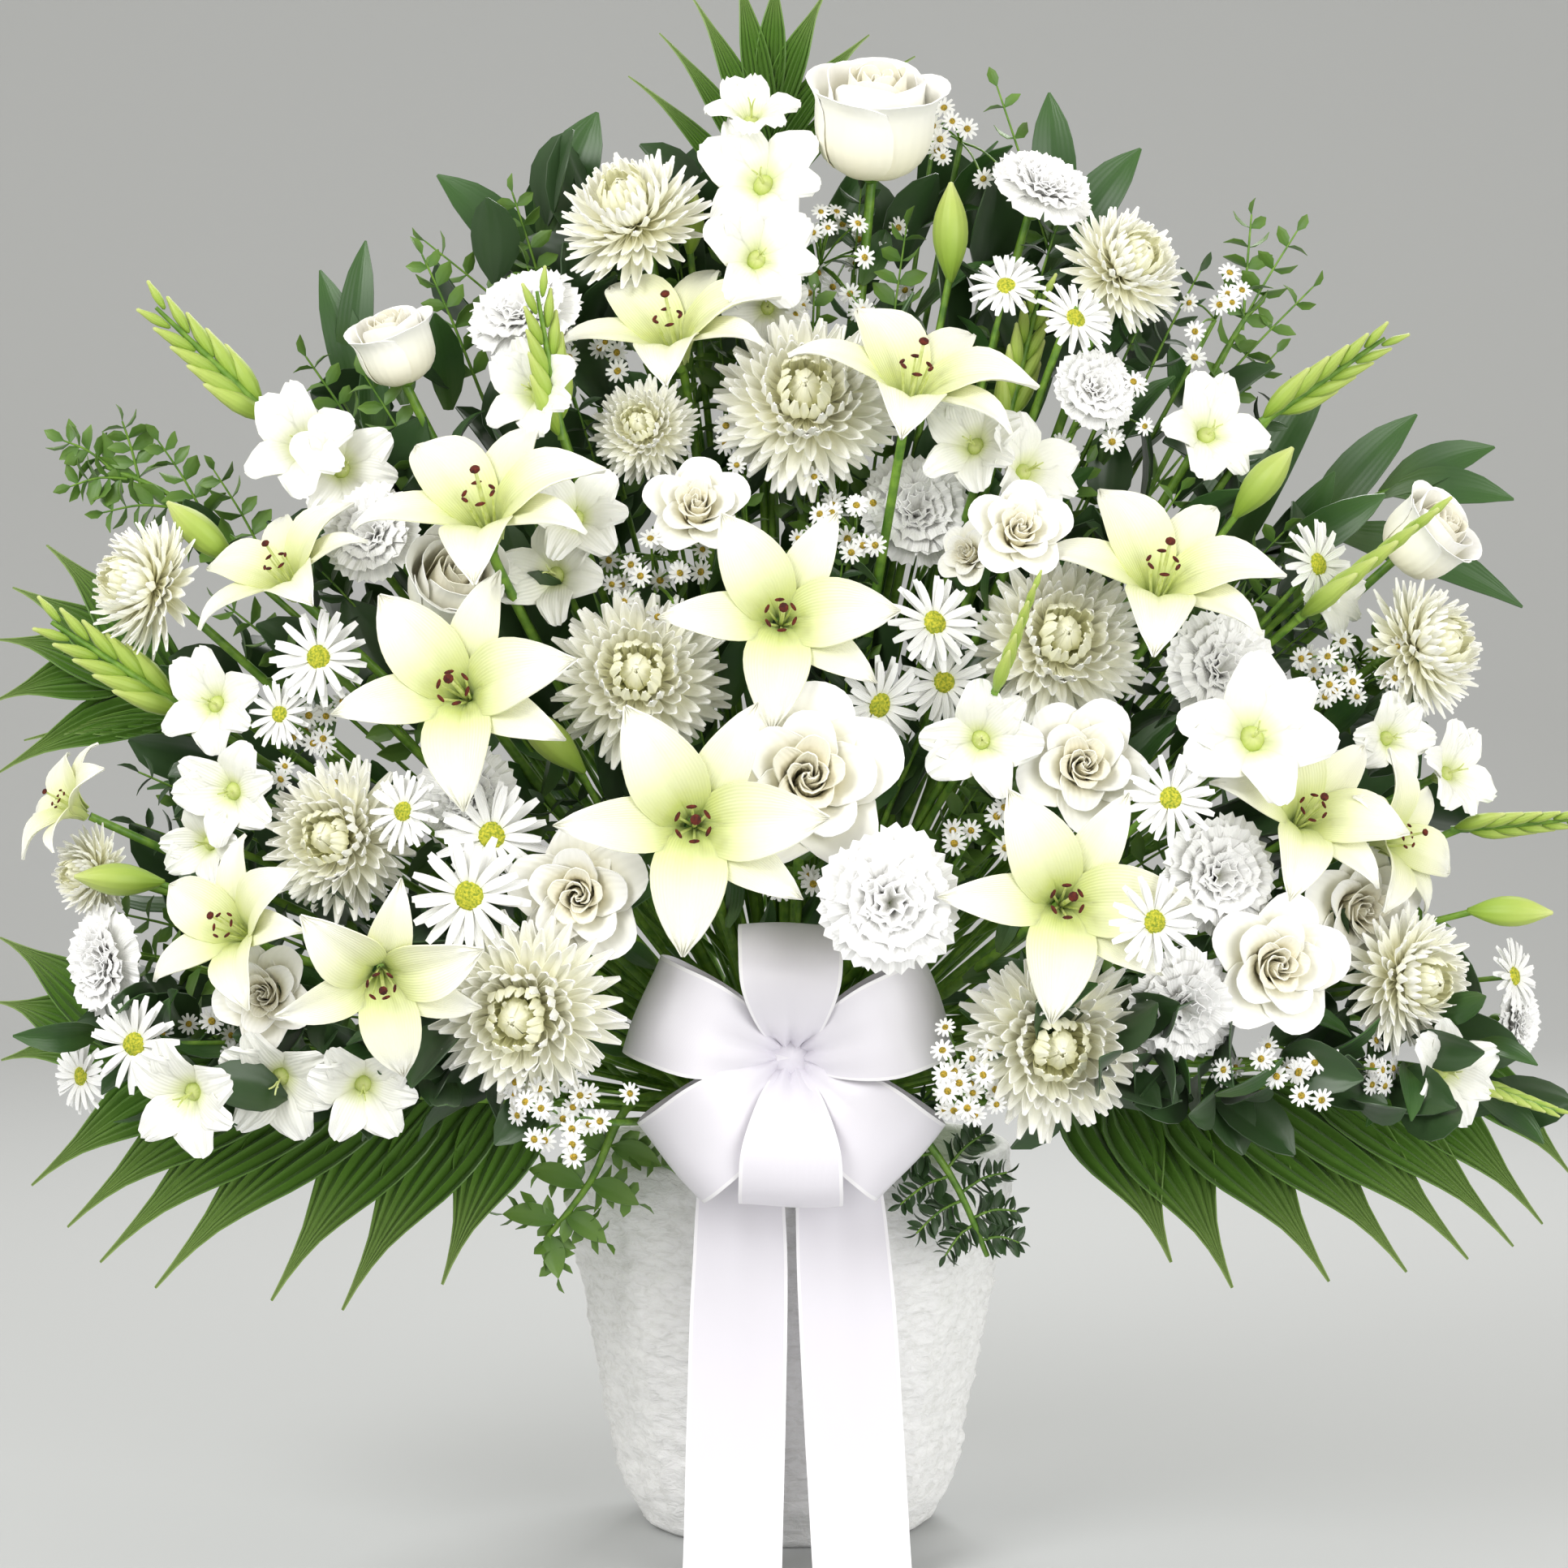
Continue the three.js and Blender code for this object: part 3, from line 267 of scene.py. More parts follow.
def petal(finish, length, width, outline, slopes, cup=0.2, crown=0.0, frill=0.0, waves=3.0, groove=0.0,
          teeth=0.0, foot=(0.05, 0.0), wrap=0.0, spiral=0.0, across=6, along=8):
    """One petal from a grid blank. It starts at foot (radius, height) and climbs by the slopes in degrees."""
    bpy.ops.mesh.primitive_grid_add(x_subdivisions=across, y_subdivisions=along, size=1)
    made = bpy.context.object
    radii, heights, bends = [foot[0]], [foot[1]], []
    for row in range(along):
        bend = math.radians(glide(slopes, (row + 0.5) / along))
        bends.append(bend)
        radii.append(radii[-1] + math.cos(bend) * length / along)
        heights.append(heights[-1] + math.sin(bend) * length / along)
    for vertex in made.data.vertices:
        u, v = 2 * vertex.co.x, vertex.co.y + 0.5
        half = width / 2 * glide(outline, v)
        notch = teeth * v ** 6 * (1 - math.cos(math.pi * across * (u + 1) / 2))
        share = v * (1 - crown * u * u) - notch
        bend = glide(bends, share)
        ruffle = v * v * math.sin(waves * math.pi * u + 2) + u * u * math.sin(waves * math.pi * v)
        lift = cup * half * u * u + frill * ruffle - groove * half * math.exp(-40 * u * u)
        radius = glide(radii, share) - math.sin(bend) * lift
        height = glide(heights, share) + math.cos(bend) * lift
        if wrap:
            turn = u * half / wrap
            radius += spiral * turn
            vertex.co = (radius * math.cos(turn), radius * math.sin(turn), height)
        else:
            vertex.co = (radius, u * half, height)
    made.data.materials.append(finish)
    return made


def copy_of(master, place):
    made = master.copy()
    made.data = master.data.copy()
    made.data.transform(place)
    bpy.context.collection.objects.link(made)
    return made


def whorl(blank, count, turn=0.0, wobble=5.0, shrink=0.08):
    """Copies a petal round the axis, each copy with a little of its own lean and size."""
    made = []
    for k in range(count):
        spin = Matrix.Rotation(math.tau * (k + chance.uniform(-0.14, 0.14)) / count + turn, 4, "Z")
        lean = Matrix.Rotation(math.radians(chance.uniform(-wobble, wobble)), 4, "Y")
        made.append(copy_of(blank, spin @ lean @ Matrix.Scale(1 - shrink * chance.random(), 4)))
    bpy.data.objects.remove(blank)
    return made


def join(name, pieces):
    bpy.ops.object.select_all(action="DESELECT")
    for piece in pieces:
        piece.select_set(True)
    bpy.context.view_layer.objects.active = pieces[0]
    if len(pieces) > 1:
        bpy.ops.object.join()
    made = bpy.context.view_layer.objects.active
    made.name = made.data.name = name
    return made


def thicken(name, pieces, thickness):
    """Joins thin blanks and gives them their thickness."""
    made = join(name, pieces)
    made.modifiers.new("thickness", "SOLIDIFY").thickness = thickness
    made.modifiers["thickness"].offset = 0
    bpy.ops.object.modifier_apply(modifier="thickness")
    bpy.ops.object.shade_smooth_by_angle(angle=math.radians(55))
    return made


def stalks(lines, finish, steps=5, roundness=1):
    """Round stems, each (points, thickness at its foot, thickness at its end), drawn as one curve with its
    own thickness and made a mesh."""
    data = bpy.data.curves.new("stalks", "CURVE")
    data.dimensions, data.bevel_depth, data.bevel_resolution, data.use_fill_caps = "3D", 1.0, roundness, True
    for points, thick, thin in lines:
        line = data.splines.new("POLY")
        count = steps * (len(points) - 1)
        line.points.add(count)
        for k, point in enumerate(line.points):
            point.co = (*glide(points, k / count), 1)
            point.radius = thick + (thin - thick) * k / count
    data.materials.append(finish)
    made = bpy.data.objects.new("stalks", data)
    bpy.context.collection.objects.link(made)
    bpy.ops.object.select_all(action="DESELECT")
    made.select_set(True)
    bpy.context.view_layer.objects.active = made
    bpy.ops.object.convert(target="MESH")
    bpy.ops.object.shade_smooth()
    return bpy.context.view_layer.objects.active


def stalk(points, thick, thin, finish, steps=5):
    return stalks([(points, thick, thin)], finish, steps)


def lump(finish, size, outline=None, place=(0, 0, 0), rough=0.0, ridges=0, rings=8, columns=12):
    """A rounded body of revolution from a ball, such as a bud, a hip or a daisy's eye."""
    bpy.ops.mesh.primitive_uv_sphere_add(segments=columns, ring_count=rings, radius=1)
    made = bpy.context.object
    for vertex in made.data.vertices:
        spot = vertex.co.copy()
        if outline:
            flat = math.hypot(spot.x, spot.y) or 1.0
            spread = glide(outline, spot.z / 2 + 0.5) / flat if abs(spot.z) < 0.999 else 0.0
            if ridges:
                spread *= 1 + 0.07 * math.cos(ridges * math.atan2(spot.y, spot.x))
            spot.x, spot.y = spot.x * spread, spot.y * spread
        spot *= 1 + rough * noise.noise(spot * 9)
        vertex.co = Vector(place) + Vector([one * side for one, side in zip(spot, size)])
    made.data.materials.append(finish)
    bpy.ops.object.shade_smooth()
    return made


def seen(place, depth):
    """The point depth millimetres before the vase's middle that the viewer sees at (across, up)."""
    share = (2800 - depth) / 2800
    return Vector((place[0] * share, -depth, 620 + (place[1] - 620) * share)) / 1000


def front_depth(place):
    return (262 - 0.36 * (place[1] - 300)) * math.sqrt(1 - (place[0] / 590) ** 2)


def facing(face, spin, middle, size):
    turn = Vector((0, 0, 1)).rotation_difference(face).to_matrix().to_4x4()
    return Matrix.Translation(middle) @ turn @ Matrix.Rotation(spin, 4, "Z") @ Matrix.Scale(size, 4)


# Each kind's dressed head, how far behind its middle its stem ends as a share of its size, the stem's neck
# and radius, and where along the stem leaves grow.
HEADS = {}


def dress_stems(stems, green):
    """Each stem's heads stand where their solids do: the first on the trunk, and the others fork from it."""
    for node, heads in stems.items():
        pieces, stems_here, fork = [], [], None
        for k, (kind, place, size, way, lift) in enumerate(heads):
            master, back, neck, thin, leaves = HEADS[kind]
            face, size = Vector(way).normalized(), size / 1000
            middle = seen(place, front_depth(place) + lift)
            base = middle - face * back * size
            bend = base - face * neck
            way_out = (bend - HUB).normalized()
            if fork:
                path = [fork, fork.lerp(base, 0.6), base]
            else:
                path = [HUB + way_out * STEM_START, HUB.lerp(bend, 0.6), bend, base]
            stems_here.append((path, thin if fork else TRUNK_RADIUS, thin))
            pieces.append(copy_of(master, facing(face, 0.4 * k + 0.2, middle, size)))
            for share in leaves:
                foot = path[0].lerp(base, share)
                side = Vector((chance.uniform(-1, 1), chance.uniform(-0.3, 0.6), chance.uniform(0.1, 0.9)))
                aim = (way_out * 0.6 + side.normalized()).normalized()
                turn, reach = chance.uniform(0, 6), chance.uniform(0.035, 0.05)
                pieces.append(copy_of(stem_leaf, facing(aim, turn, foot, reach)))
            fork = fork or HUB + way_out * FORK
        adopt(join(node + "_dressed", [stalks(stems_here, green)] + pieces), node)


lily_white = petal_finish("lily_tepal", ((0.0, "#8fa62c"), (0.24, "#cfd97a"), (0.55, "#f4f5d0"),
                                         (0.86, "#fcfbf0")))
anther_rust = plain_finish("anther_rust", "#3a120a", "#6b2410", grain=400, gloss=0.9)
filament_green = plain_finish("filament_green", "#c3cf74", "#dfe6a6", grain=200, gloss=0.4)
bud_green = petal_finish("bud_green",
                         ((0.0, "#6f9624"), (0.3, "#98b63e"), (0.7, "#bccb68"), (1.0, "#dbde9a")),
                         veins=12, streak="#7fa52f")
stalk_green = plain_finish("stalk_green", "#4f7a22", "#7aa136", grain=120, gloss=0.45)
leaf_green = petal_finish("leaf_green", ((0.0, "#48662a"), (0.5, "#2f5420"), (1.0, "#3c6426")), veins=8,
                          gloss=0.38,
                          streak="#284a1c", relief=0.0001, glow=0.03)
LANCE = [0.25, 0.8, 1.0, 0.9, 0.6, 0.06]
stem_leaf = thicken("stem_leaf", [petal(leaf_green, 1.0, 0.34, LANCE, [90, 84, 70, 52, 36], cup=0.3,
                                        groove=0.2,
                                        foot=(0, 0), across=4, along=6)], 0.012)

TEPAL = [0.34, 0.6, 0.86, 1.0, 0.95, 0.74, 0.42, 0.03]
CLIMB = [78, 62, 42, 24, 10, -2, -18, -38]
tepals = whorl(petal(lily_white, 1.26, 0.62, TEPAL, CLIMB, cup=0.22, frill=0.022, waves=4, groove=0.14,
                     foot=(0.05, -0.38), along=14, across=8), 3, wobble=4)
tepals += whorl(petal(lily_white, 1.26, 0.44, TEPAL, CLIMB, cup=0.2, frill=0.018, waves=3, groove=0.12,
                      foot=(0.06, -0.41), along=14, across=6), 3, turn=math.pi / 3, wobble=4)
lily_head = thicken("lily_tepals", tepals, 0.014)
THROAT = Vector((0, 0, -0.36))
pistil = [THROAT, Vector((0.02, 0.01, 0)), Vector((0.03, 0.02, 0.3))]
inside = [stalk(pistil, 0.022, 0.014, filament_green),
          lump(anther_rust, (0.045, 0.045, 0.03), place=(0.03, 0.02, 0.31), rings=5, columns=9)]
for k in range(6):
    turn = k * math.pi / 3 + 0.4
    out = Vector((math.cos(turn), math.sin(turn), 0))
    tip = out * 0.13 + Vector((0, 0, 0.08 + 0.03 * (k % 2)))
    filament = [THROAT + out * 0.03, out * 0.09 + Vector((0, 0, -0.1)), tip]
    inside.append(stalk(filament, 0.013, 0.008, filament_green))
    anther = lump(anther_rust, (0.017, 0.046, 0.016), place=tip, rings=5, columns=8)
    anther.data.transform(Matrix.Translation(tip) @ Matrix.Rotation(turn, 4, "Z") @ Matrix.Translation(-tip))
    inside.append(anther)
lily_head = join("lily_head", [lily_head] + inside)
lily_head.data.transform(Matrix.Scale(0.97, 4))
BUD = [0.03, 0.08, 0.13, 0.165, 0.175, 0.165, 0.13, 0.075, 0.02]
bud_head = lump(bud_green, (1, 1, 0.5), BUD, ridges=3, rings=16, columns=18)
HEADS["lily"] = (lily_head, 0.43, 0.026, 0.0028, (0.45, 0.6, 0.75))
HEADS["bud"] = (bud_head, 0.4, 0.016, 0.0022, (0.6,))
dress_stems({
    "lily_top_left": [
        ("lily", [-72, 738], 68, [-0.2, -0.5, 0.85], 14), ("bud", [-58, 800], 40, [0.1, -0.2, 1], -18)],
    "lily_top_right": [
        ("lily", [78, 708], 72, [0.15, -0.5, 0.85], 70), ("bud", [100, 795], 60, [0, -0.1, 1], 0)],
    "lily_upper_left": [
        ("lily", [-188, 630], 74, [-0.2, -0.6, 0.8], 60),
        ("lily", [-312, 590], 58, [-0.45, -0.5, 0.75], 24),
        ("bud", [-360, 612], 54, [-0.7, -0.2, 0.65], 0)],
    "lily_upper_right": [
        ("lily", [230, 588], 72, [0.1, -0.65, 0.75], 40), ("bud", [292, 642], 56, [0.6, -0.3, 0.75], 10)],
    "lily_centre": [
        ("lily", [-4, 560], 68, [0, -1, 0.2], 52)],
    "lily_left": [
        ("lily", [-204, 515], 72, [-0.2, -1, 0.25], 50), ("bud", [-146, 484], 58, [-0.7, -0.35, 0.7], 10)],
    "lily_low_centre": [
        ("lily", [-58, 432], 76, [0, -1, 0.1], 62)],
    "lily_low_right": [
        ("lily", [172, 384], 70, [0.05, -1, 0.15], 62)],
    "lily_right": [
        ("lily", [322, 440], 60, [0.3, -0.9, 0.5], 46), ("lily", [378, 424], 52, [0.8, -0.6, 0.2], 20),
        ("bud", [446, 378], 50, [1, -0.3, 0], 34)],
    "lily_low_left": [
        ("lily", [-345, 368], 56, [-0.6, -0.8, 0.4], 52), ("lily", [-251, 334], 60, [0.1, -1, -0.25], 74),
        ("bud", [-412, 398], 54, [-1, -0.4, 0.1], 20), ("lily", [-446, 446], 42, [-0.8, -0.4, 0.5], 26)],
}, stalk_green)

# Chrysanthemums
# Football mums: about 200 narrow petals. They curl over a heart that is still yellow, and the lowest spread
# to a spiky rim.
mum_white = petal_finish("mum_petal",
                         ((0.0, "#f6f0a0"), (0.35, "#fffcd4"), (0.7, "#fffff0"), (1.0, "#ffffff")),
                         veins=3, streak="#fffdea", glow=0.0)
mum_heart = petal_finish("mum_heart", ((0.0, "#e8ea90"), (0.45, "#fbfacc"), (1.0, "#fffee8")), veins=3,
                         streak="#fbfad2", glow=0.0)
QUILL = [0.6, 0.85, 1.0, 1.0, 0.86, 0.25]
quills = []
for count, length, lean, hook in ((26, 1.0, -15, 28), (28, 0.98, -4, 32), (28, 0.96, 8, 38),
                                  (27, 0.95, 20, 46), (26, 0.93, 32, 56), (23, 0.9, 44, 68),
                                  (18, 0.88, 56, 82), (14, 0.84, 68, 98),
                                  (8, 0.78, 80, 118)):
    slopes = [lean, lean, lean + 0.04 * hook, lean + 0.2 * hook, lean + 0.55 * hook, lean + hook]
    blank = petal(mum_heart if lean > 50 else mum_white, length, 0.15, QUILL, slopes, cup=0.6,
                  foot=(0.03, -0.22),
                  across=2, along=5)
    quills += whorl(blank, count, turn=0.13 * len(quills), wobble=7, shrink=0.16)
mum_head = thicken("mum_head", quills, 0.012)
mum_head.data.transform(Matrix.Diagonal((1.08, 1.08, 1.04, 1)))
HEADS["mum"] = (mum_head, 0.36, 0.02, 0.003, (0.5, 0.68, 0.84))
dress_stems({
    "mum_top_left": [
        ("mum", [-96, 808], 47, [-0.35, -0.7, 0.8], 0), ("mum", [-89, 676], 32, [-0.2, -1, 0.3], -2)],
    "mum_upper_centre": [
        ("mum", [11, 694], 55, [0, -1, 0.35], 14)],
    "mum_centre": [
        ("mum", [-92, 524], 52, [0, -1, 0.2], 10)],
    "mum_right": [
        ("mum", [168, 546], 52, [0.15, -1, 0.25], -2), ("mum", [209, 776], 40, [0.6, -0.7, 0.5], 0)],
    "mum_left": [
        ("mum", [-279, 424], 46, [-0.3, -1, 0.1], 2), ("mum", [-398, 580], 42, [-1, -0.6, 0.3], 0),
        ("mum", [-432, 402], 28, [-0.8, -0.7, 0], 4)],
    "mum_low_left": [
        ("mum", [-164, 315], 55, [-0.15, -1, -0.05], 14)],
    "mum_low_right": [
        ("mum", [166, 296], 54, [0.1, -1, -0.05], 0)],
    "mum_far_right": [
        ("mum", [396, 542], 42, [0.9, -0.7, 0.3], 0), ("mum", [388, 336], 42, [0.6, -0.8, 0], 10)],
}, stalk_green)

# Roses
# Cream-white garden roses: a tight spiral heart in broad cupped petals with rolled lips, and five sepals
# on a small hip. Four are half open, and their petals still stand up in a tall cup.
rose_cream = petal_finish("rose_petal",
                          ((0.0, "#faecae"), (0.35, "#fff9dc"), (0.7, "#fffef0"), (1.0, "#ffffff")),
                          veins=9, streak="#fffcee", glow=0.0)
rose_heart = petal_finish("rose_heart", ((0.0, "#f8e8a8"), (0.5, "#fff8d8"), (1.0, "#fffdf0")), veins=9,
                          streak="#fff8e0", glow=0.0)
HEART = 0.5     # petals rolled tighter than this share of the head are in its heart
ROUND = [0.3, 0.6, 0.86, 1.0, 1.0, 0.86, 0.5]
rose_petals = []
for count, length, width, slopes, wrap, foot in (
        (5, 1.3, 1.5, [44, 58, 54, 40, 20, -14], 0.85, 0.1),
        (5, 1.16, 1.3, [54, 68, 70, 62, 46, 10], 0.62, 0.1),
        (5, 1.1, 1.05, [60, 78, 82, 80, 72, 44], 0.42, 0.09),
        (4, 1.06, 0.8, [62, 82, 88, 90, 86, 72], 0.28, 0.08),
        (3, 1.03, 0.55, [70, 84, 90, 93, 94, 90], 0.16, 0.05),
        (2, 1.0, 0.3, [80, 88, 92, 95, 96, 94], 0.08, 0.03)):
    blank = petal(rose_heart if wrap < HEART else rose_cream, length, width, ROUND, slopes, cup=0.05,
                  crown=0.12, frill=0.006, wrap=wrap, spiral=0.045, foot=(foot, -0.56), across=8, along=8)
    rose_petals += whorl(blank, count, turn=0.5 * len(rose_petals), wobble=3, shrink=0.05)
rose_head = thicken("rose_petals", rose_petals, 0.016)
sepals = whorl(petal(leaf_green, 0.62, 0.2, LANCE, [30, 45, 30, 0, -40], foot=(0.06, -0.62), across=4,
                     along=6), 5)
hip = lump(stalk_green, (0.15, 0.15, 0.14), place=(0, 0, -0.64))
rose_head = join("rose_head", [rose_head, thicken("rose_sepals", sepals, 0.014), hip])
rose_head.data.transform(Matrix.Diagonal((1.18, 1.18, 1.04, 1)))
FULL = [0.3, 0.62, 0.88, 1.0, 1.0, 0.98, 0.84]
rose_petals = []
for count, length, width, slopes, wrap, foot in (
        (5, 1.9, 1.8, [2, 26, 62, 84, 84, 36], 0.86, (0.1, -0.7)),
        (4, 1.82, 1.6, [8, 40, 74, 88, 92, 74], 0.67, (0.1, -0.69)),
        (4, 1.74, 1.2, [16, 56, 86, 94, 95, 88], 0.48, (0.1, -0.68)),
        (4, 1.62, 0.8, [34, 74, 92, 95, 95, 90], 0.29, (0.08, -0.67)),
        (3, 1.5, 0.44, [60, 86, 92, 95, 96, 92], 0.14, (0.05, -0.66)),
        (2, 1.44, 0.2, [78, 90, 93, 95, 96, 94], 0.06, (0.03, -0.66))):
    blank = petal(rose_heart if wrap < HEART else rose_cream, length, width, FULL, slopes, cup=0.03,
                  crown=0.12, frill=0.008, wrap=wrap, spiral=0.04, foot=foot, across=10, along=10)
    rose_petals += whorl(blank, count, turn=0.5 * len(rose_petals), wobble=2, shrink=0.04)
cup_head = thicken("cup_petals", rose_petals, 0.016)
sepals = whorl(petal(leaf_green, 0.7, 0.2, LANCE, [40, 62, 60, 20, -40], foot=(0.07, -0.68), across=4,
                     along=6), 5)
hip = lump(stalk_green, (0.15, 0.15, 0.14), place=(0, 0, -0.68))
cup_head = join("cup_head", [cup_head, thicken("cup_sepals", sepals, 0.014), hip])
HEADS["rose"] = (rose_head, 0.76, 0.018, 0.0028, (0.45, 0.6, 0.75, 0.88))
HEADS["cup"] = (cup_head, 0.76, 0.018, 0.0028, (0.45, 0.6, 0.75, 0.88))
dress_stems({
    "rose_top": [
        ("cup", [53, 858], 42, [0.05, -0.42, 0.9], 10)],
    "rose_upper_left": [
        ("cup", [-239, 722], 27, [-0.3, -0.35, 0.9], 0), ("cup", [-207, 579], 30, [0.26, -0.8, 0.5], 1)],
    "rose_centre": [
        ("rose", [-56, 626], 27, [0, -0.9, 0.5], 10)],
    "rose_right": [
        ("rose", [142, 612], 26, [0.1, -0.9, 0.4], 46), ("rose", [112, 598], 17, [-0.5, -0.8, 0.3], 0),
        ("rose", [181, 468], 33, [0.1, -1, 0.2], 12)],
    "rose_low_centre": [
        ("rose", [12, 460], 46, [0.05, -1, 0.2], 24)],
    "rose_low_left": [
        ("rose", [-128, 388], 35, [-0.1, -1, 0], 12), ("rose", [-322, 326], 26, [-0.2, -1, 0.1], 20)],
    "rose_right_edge": [
        ("cup", [390, 607], 29, [0.66, -0.5, 0.58], -17)],
    "rose_far_right": [
        ("rose", [301, 345], 35, [0.2, -1, 0.1], 16), ("rose", [352, 380], 32, [0.4, -1, 0], -10)],
}, stalk_green)

# Carnations
# White carnations: a loose ball of fan-shaped petals with pinked, ruffled edges, held in a green calyx.
carnation_white = petal_finish("carnation_petal", ((0.0, "#eef2d8"), (0.35, "#fdfdf8"), (1.0, "#ffffff")),
                               veins=16, streak="#fefefc", glow=0.0)
FAN = [0.14, 0.3, 0.55, 0.85, 1.0]
ruffles = []
for count, length, slopes in ((9, 1.04, [44, 32, 14, -2, -16]), (9, 0.96, [54, 46, 34, 20, 4]),
                              (8, 0.86, [66, 58, 50, 42, 30]), (7, 0.78, [76, 72, 68, 64, 56]),
                              (5, 0.7, [84, 82, 80, 80, 76])):
    blank = petal(carnation_white, length, 0.72, FAN, slopes, cup=0.2, crown=0.1, frill=0.05, waves=3.3,
                  teeth=0.03,
                  foot=(0.04, -0.38), across=8, along=6)
    ruffles += whorl(blank, count, turn=0.7 * len(ruffles), wobble=9, shrink=0.12)
carnation_head = thicken("carnation_petals", ruffles, 0.014)
CALYX = [0.06, 0.12, 0.15, 0.15, 0.16, 0.17, 0.12]
calyx = lump(stalk_green, (1, 1, 0.27), CALYX, place=(0, 0, -0.56), rings=8, columns=12)
carnation_head = join("carnation_head", [carnation_head, calyx])
carnation_head.data.transform(Matrix.Diagonal((1.2, 1.2, 1.06, 1)))
HEADS["carnation"] = (carnation_head, 0.8, 0.016, 0.0022, (0.6, 0.8))
dress_stems({
    "carnation_upper_left": [
        ("carnation", [-162, 748], 33, [-0.3, -0.7, 0.7], 0),
        ("carnation", [-256, 612], 28, [-0.3, -1, 0.3], 6)],
    "carnation_centre": [
        ("carnation", [80, 626], 32, [0.1, -1, 0.3], -24),
        ("carnation", [64, 384], 38, [0.05, -1, 0.1], 46)],
    "carnation_upper_right": [
        ("carnation", [158, 824], 30, [0.3, -0.6, 0.7], 0),
        ("carnation", [190, 700], 24, [0.3, -1, 0.4], 4)],
    "carnation_right": [
        ("carnation", [268, 528], 32, [0.3, -1, 0.2], 0),
        ("carnation", [268, 400], 32, [0.2, -1, 0.1], 20),
        ("carnation", [246, 318], 30, [0.2, -1, -0.1], 10),
        ("carnation", [452, 310], 22, [0.9, -0.6, 0], -34)],
    "carnation_left": [
        ("carnation", [-424, 346], 30, [-0.8, -0.8, 0], 4),
        ("carnation", [-198, 448], 29, [-0.2, -1, 0.1], 2)],
}, stalk_green)

# Daisies
# Daisy mums: two rings of narrow white rays round a flat yellow-green eye of tiny florets.
daisy_white = petal_finish("daisy_ray", ((0.0, "#edf1cc"), (0.25, "#fbfbf6"), (1.0, "#ffffff")), veins=4,
                           streak="#f4f6f2")
eye_yellow = plain_finish("eye_yellow", "#7f9420", "#d6cf3a", grain=700, gloss=0.8, depth=0.002)
RAY = [0.55, 0.85, 1.0, 0.95, 0.6]
low_ray = petal(daisy_white, 0.84, 0.17, RAY, [14, 6, 2, -4, -12], cup=0.35, foot=(0.16, 0), across=2,
                along=5)
rays = whorl(low_ray, 15)
high_ray = petal(daisy_white, 0.72, 0.16, RAY, [26, 18, 10, 4, -4], cup=0.35, foot=(0.16, 0.03), across=2,
                 along=5)
rays += whorl(high_ray, 13, turn=0.2)
daisy_head = thicken("daisy_rays", rays, 0.014)
daisy_eye = lump(eye_yellow, (0.25, 0.25, 0.13), place=(0, 0, 0.03), rough=0.12, rings=12, columns=20)
daisy_back = lump(stalk_green, (0.17, 0.17, 0.09), place=(0, 0, -0.04))
daisy_head = join("daisy_head", [daisy_head, daisy_eye, daisy_back])
daisy_head.data.transform(Matrix.Diagonal((1.2, 1.2, 1, 1)))
HEADS["daisy"] = (daisy_head, 0.02, 0.016, 0.0017, (0.7,))
dress_stems({
    "daisy_upper_left": [
        ("daisy", [-288, 535], 25, [-0.1, -1, 0.2], 30), ("daisy", [-312, 500], 18, [-0.4, -1, 0.2], 10)],
    "daisy_left": [
        ("daisy", [-182, 425], 28, [0, -1, 0.15], 22), ("daisy", [-196, 388], 30, [-0.1, -1, 0.1], 36),
        ("daisy", [-236, 440], 21, [-0.5, -0.9, 0.2], 30), ("daisy", [-403, 296], 25, [-0.4, -1, 0.1], 30),
        ("daisy", [-436, 276], 20, [-0.7, -0.8, 0], -16)],
    "daisy_centre": [
        ("daisy", [56, 506], 26, [0.5, -0.8, -0.2], 14), ("daisy", [90, 556], 25, [0.4, -1, 0.3], 24),
        ("daisy", [96, 520], 23, [0.3, -1, 0], 4)],
    "daisy_right": [
        ("daisy", [236, 448], 23, [0.1, -1, 0.2], 60), ("daisy", [226, 372], 24, [0.4, -1, 0], 76),
        ("daisy", [325, 592], 24, [0.7, -0.8, 0.2], 0), ("daisy", [448, 338], 20, [0.8, -0.6, 0.2], 8)],
    "daisy_top_right": [
        ("daisy", [176, 742], 22, [0.4, -0.8, 0.5], 30), ("daisy", [134, 762], 20, [-0.1, -0.9, 0.6], 20)],
}, stalk_green)

# Gladioli
# White gladioli: ruffled funnels with green throats, and spears of pale buds in two ranks at the stem ends.
glad_white = petal_finish("gladiolus_petal", ((0.0, "#9fb83e"), (0.22, "#dbe39c"), (0.5, "#f6f6ea"),
                                              (1.0, "#fdfdfb")), veins=12)
BROAD = [0.3, 0.55, 0.85, 1.0, 0.9, 0.5]
funnel = []
for turn, width in ((0, 0.86), (math.pi / 3, 0.7)):
    blank = petal(glad_white, 1.42, width, BROAD, [78, 66, 52, 34, 14, -8], cup=0.12, crown=0.08,
                  frill=0.06, waves=3.2,
                  foot=(0.06, -0.78), across=8, along=8)
    funnel += whorl(blank, 3, turn=turn, wobble=5)
floret_head = thicken("floret_petals", funnel, 0.018)
floret_cup = lump(bud_green, (1, 1, 0.3), [0.08, 0.12, 0.13, 0.16, 0.2, 0.16, 0.08], place=(0, 0, -0.66))
stamens = [stalk([Vector((0, 0, -0.6)), out * 0.3, out + Vector((0, 0, 0.22))], 0.02, 0.014, filament_green)
           for out in (Vector((0.08, 0, 0)), Vector((-0.05, 0.07, 0)), Vector((-0.05, -0.07, 0)))]
floret_head = join("floret_head", [floret_head, floret_cup] + stamens)
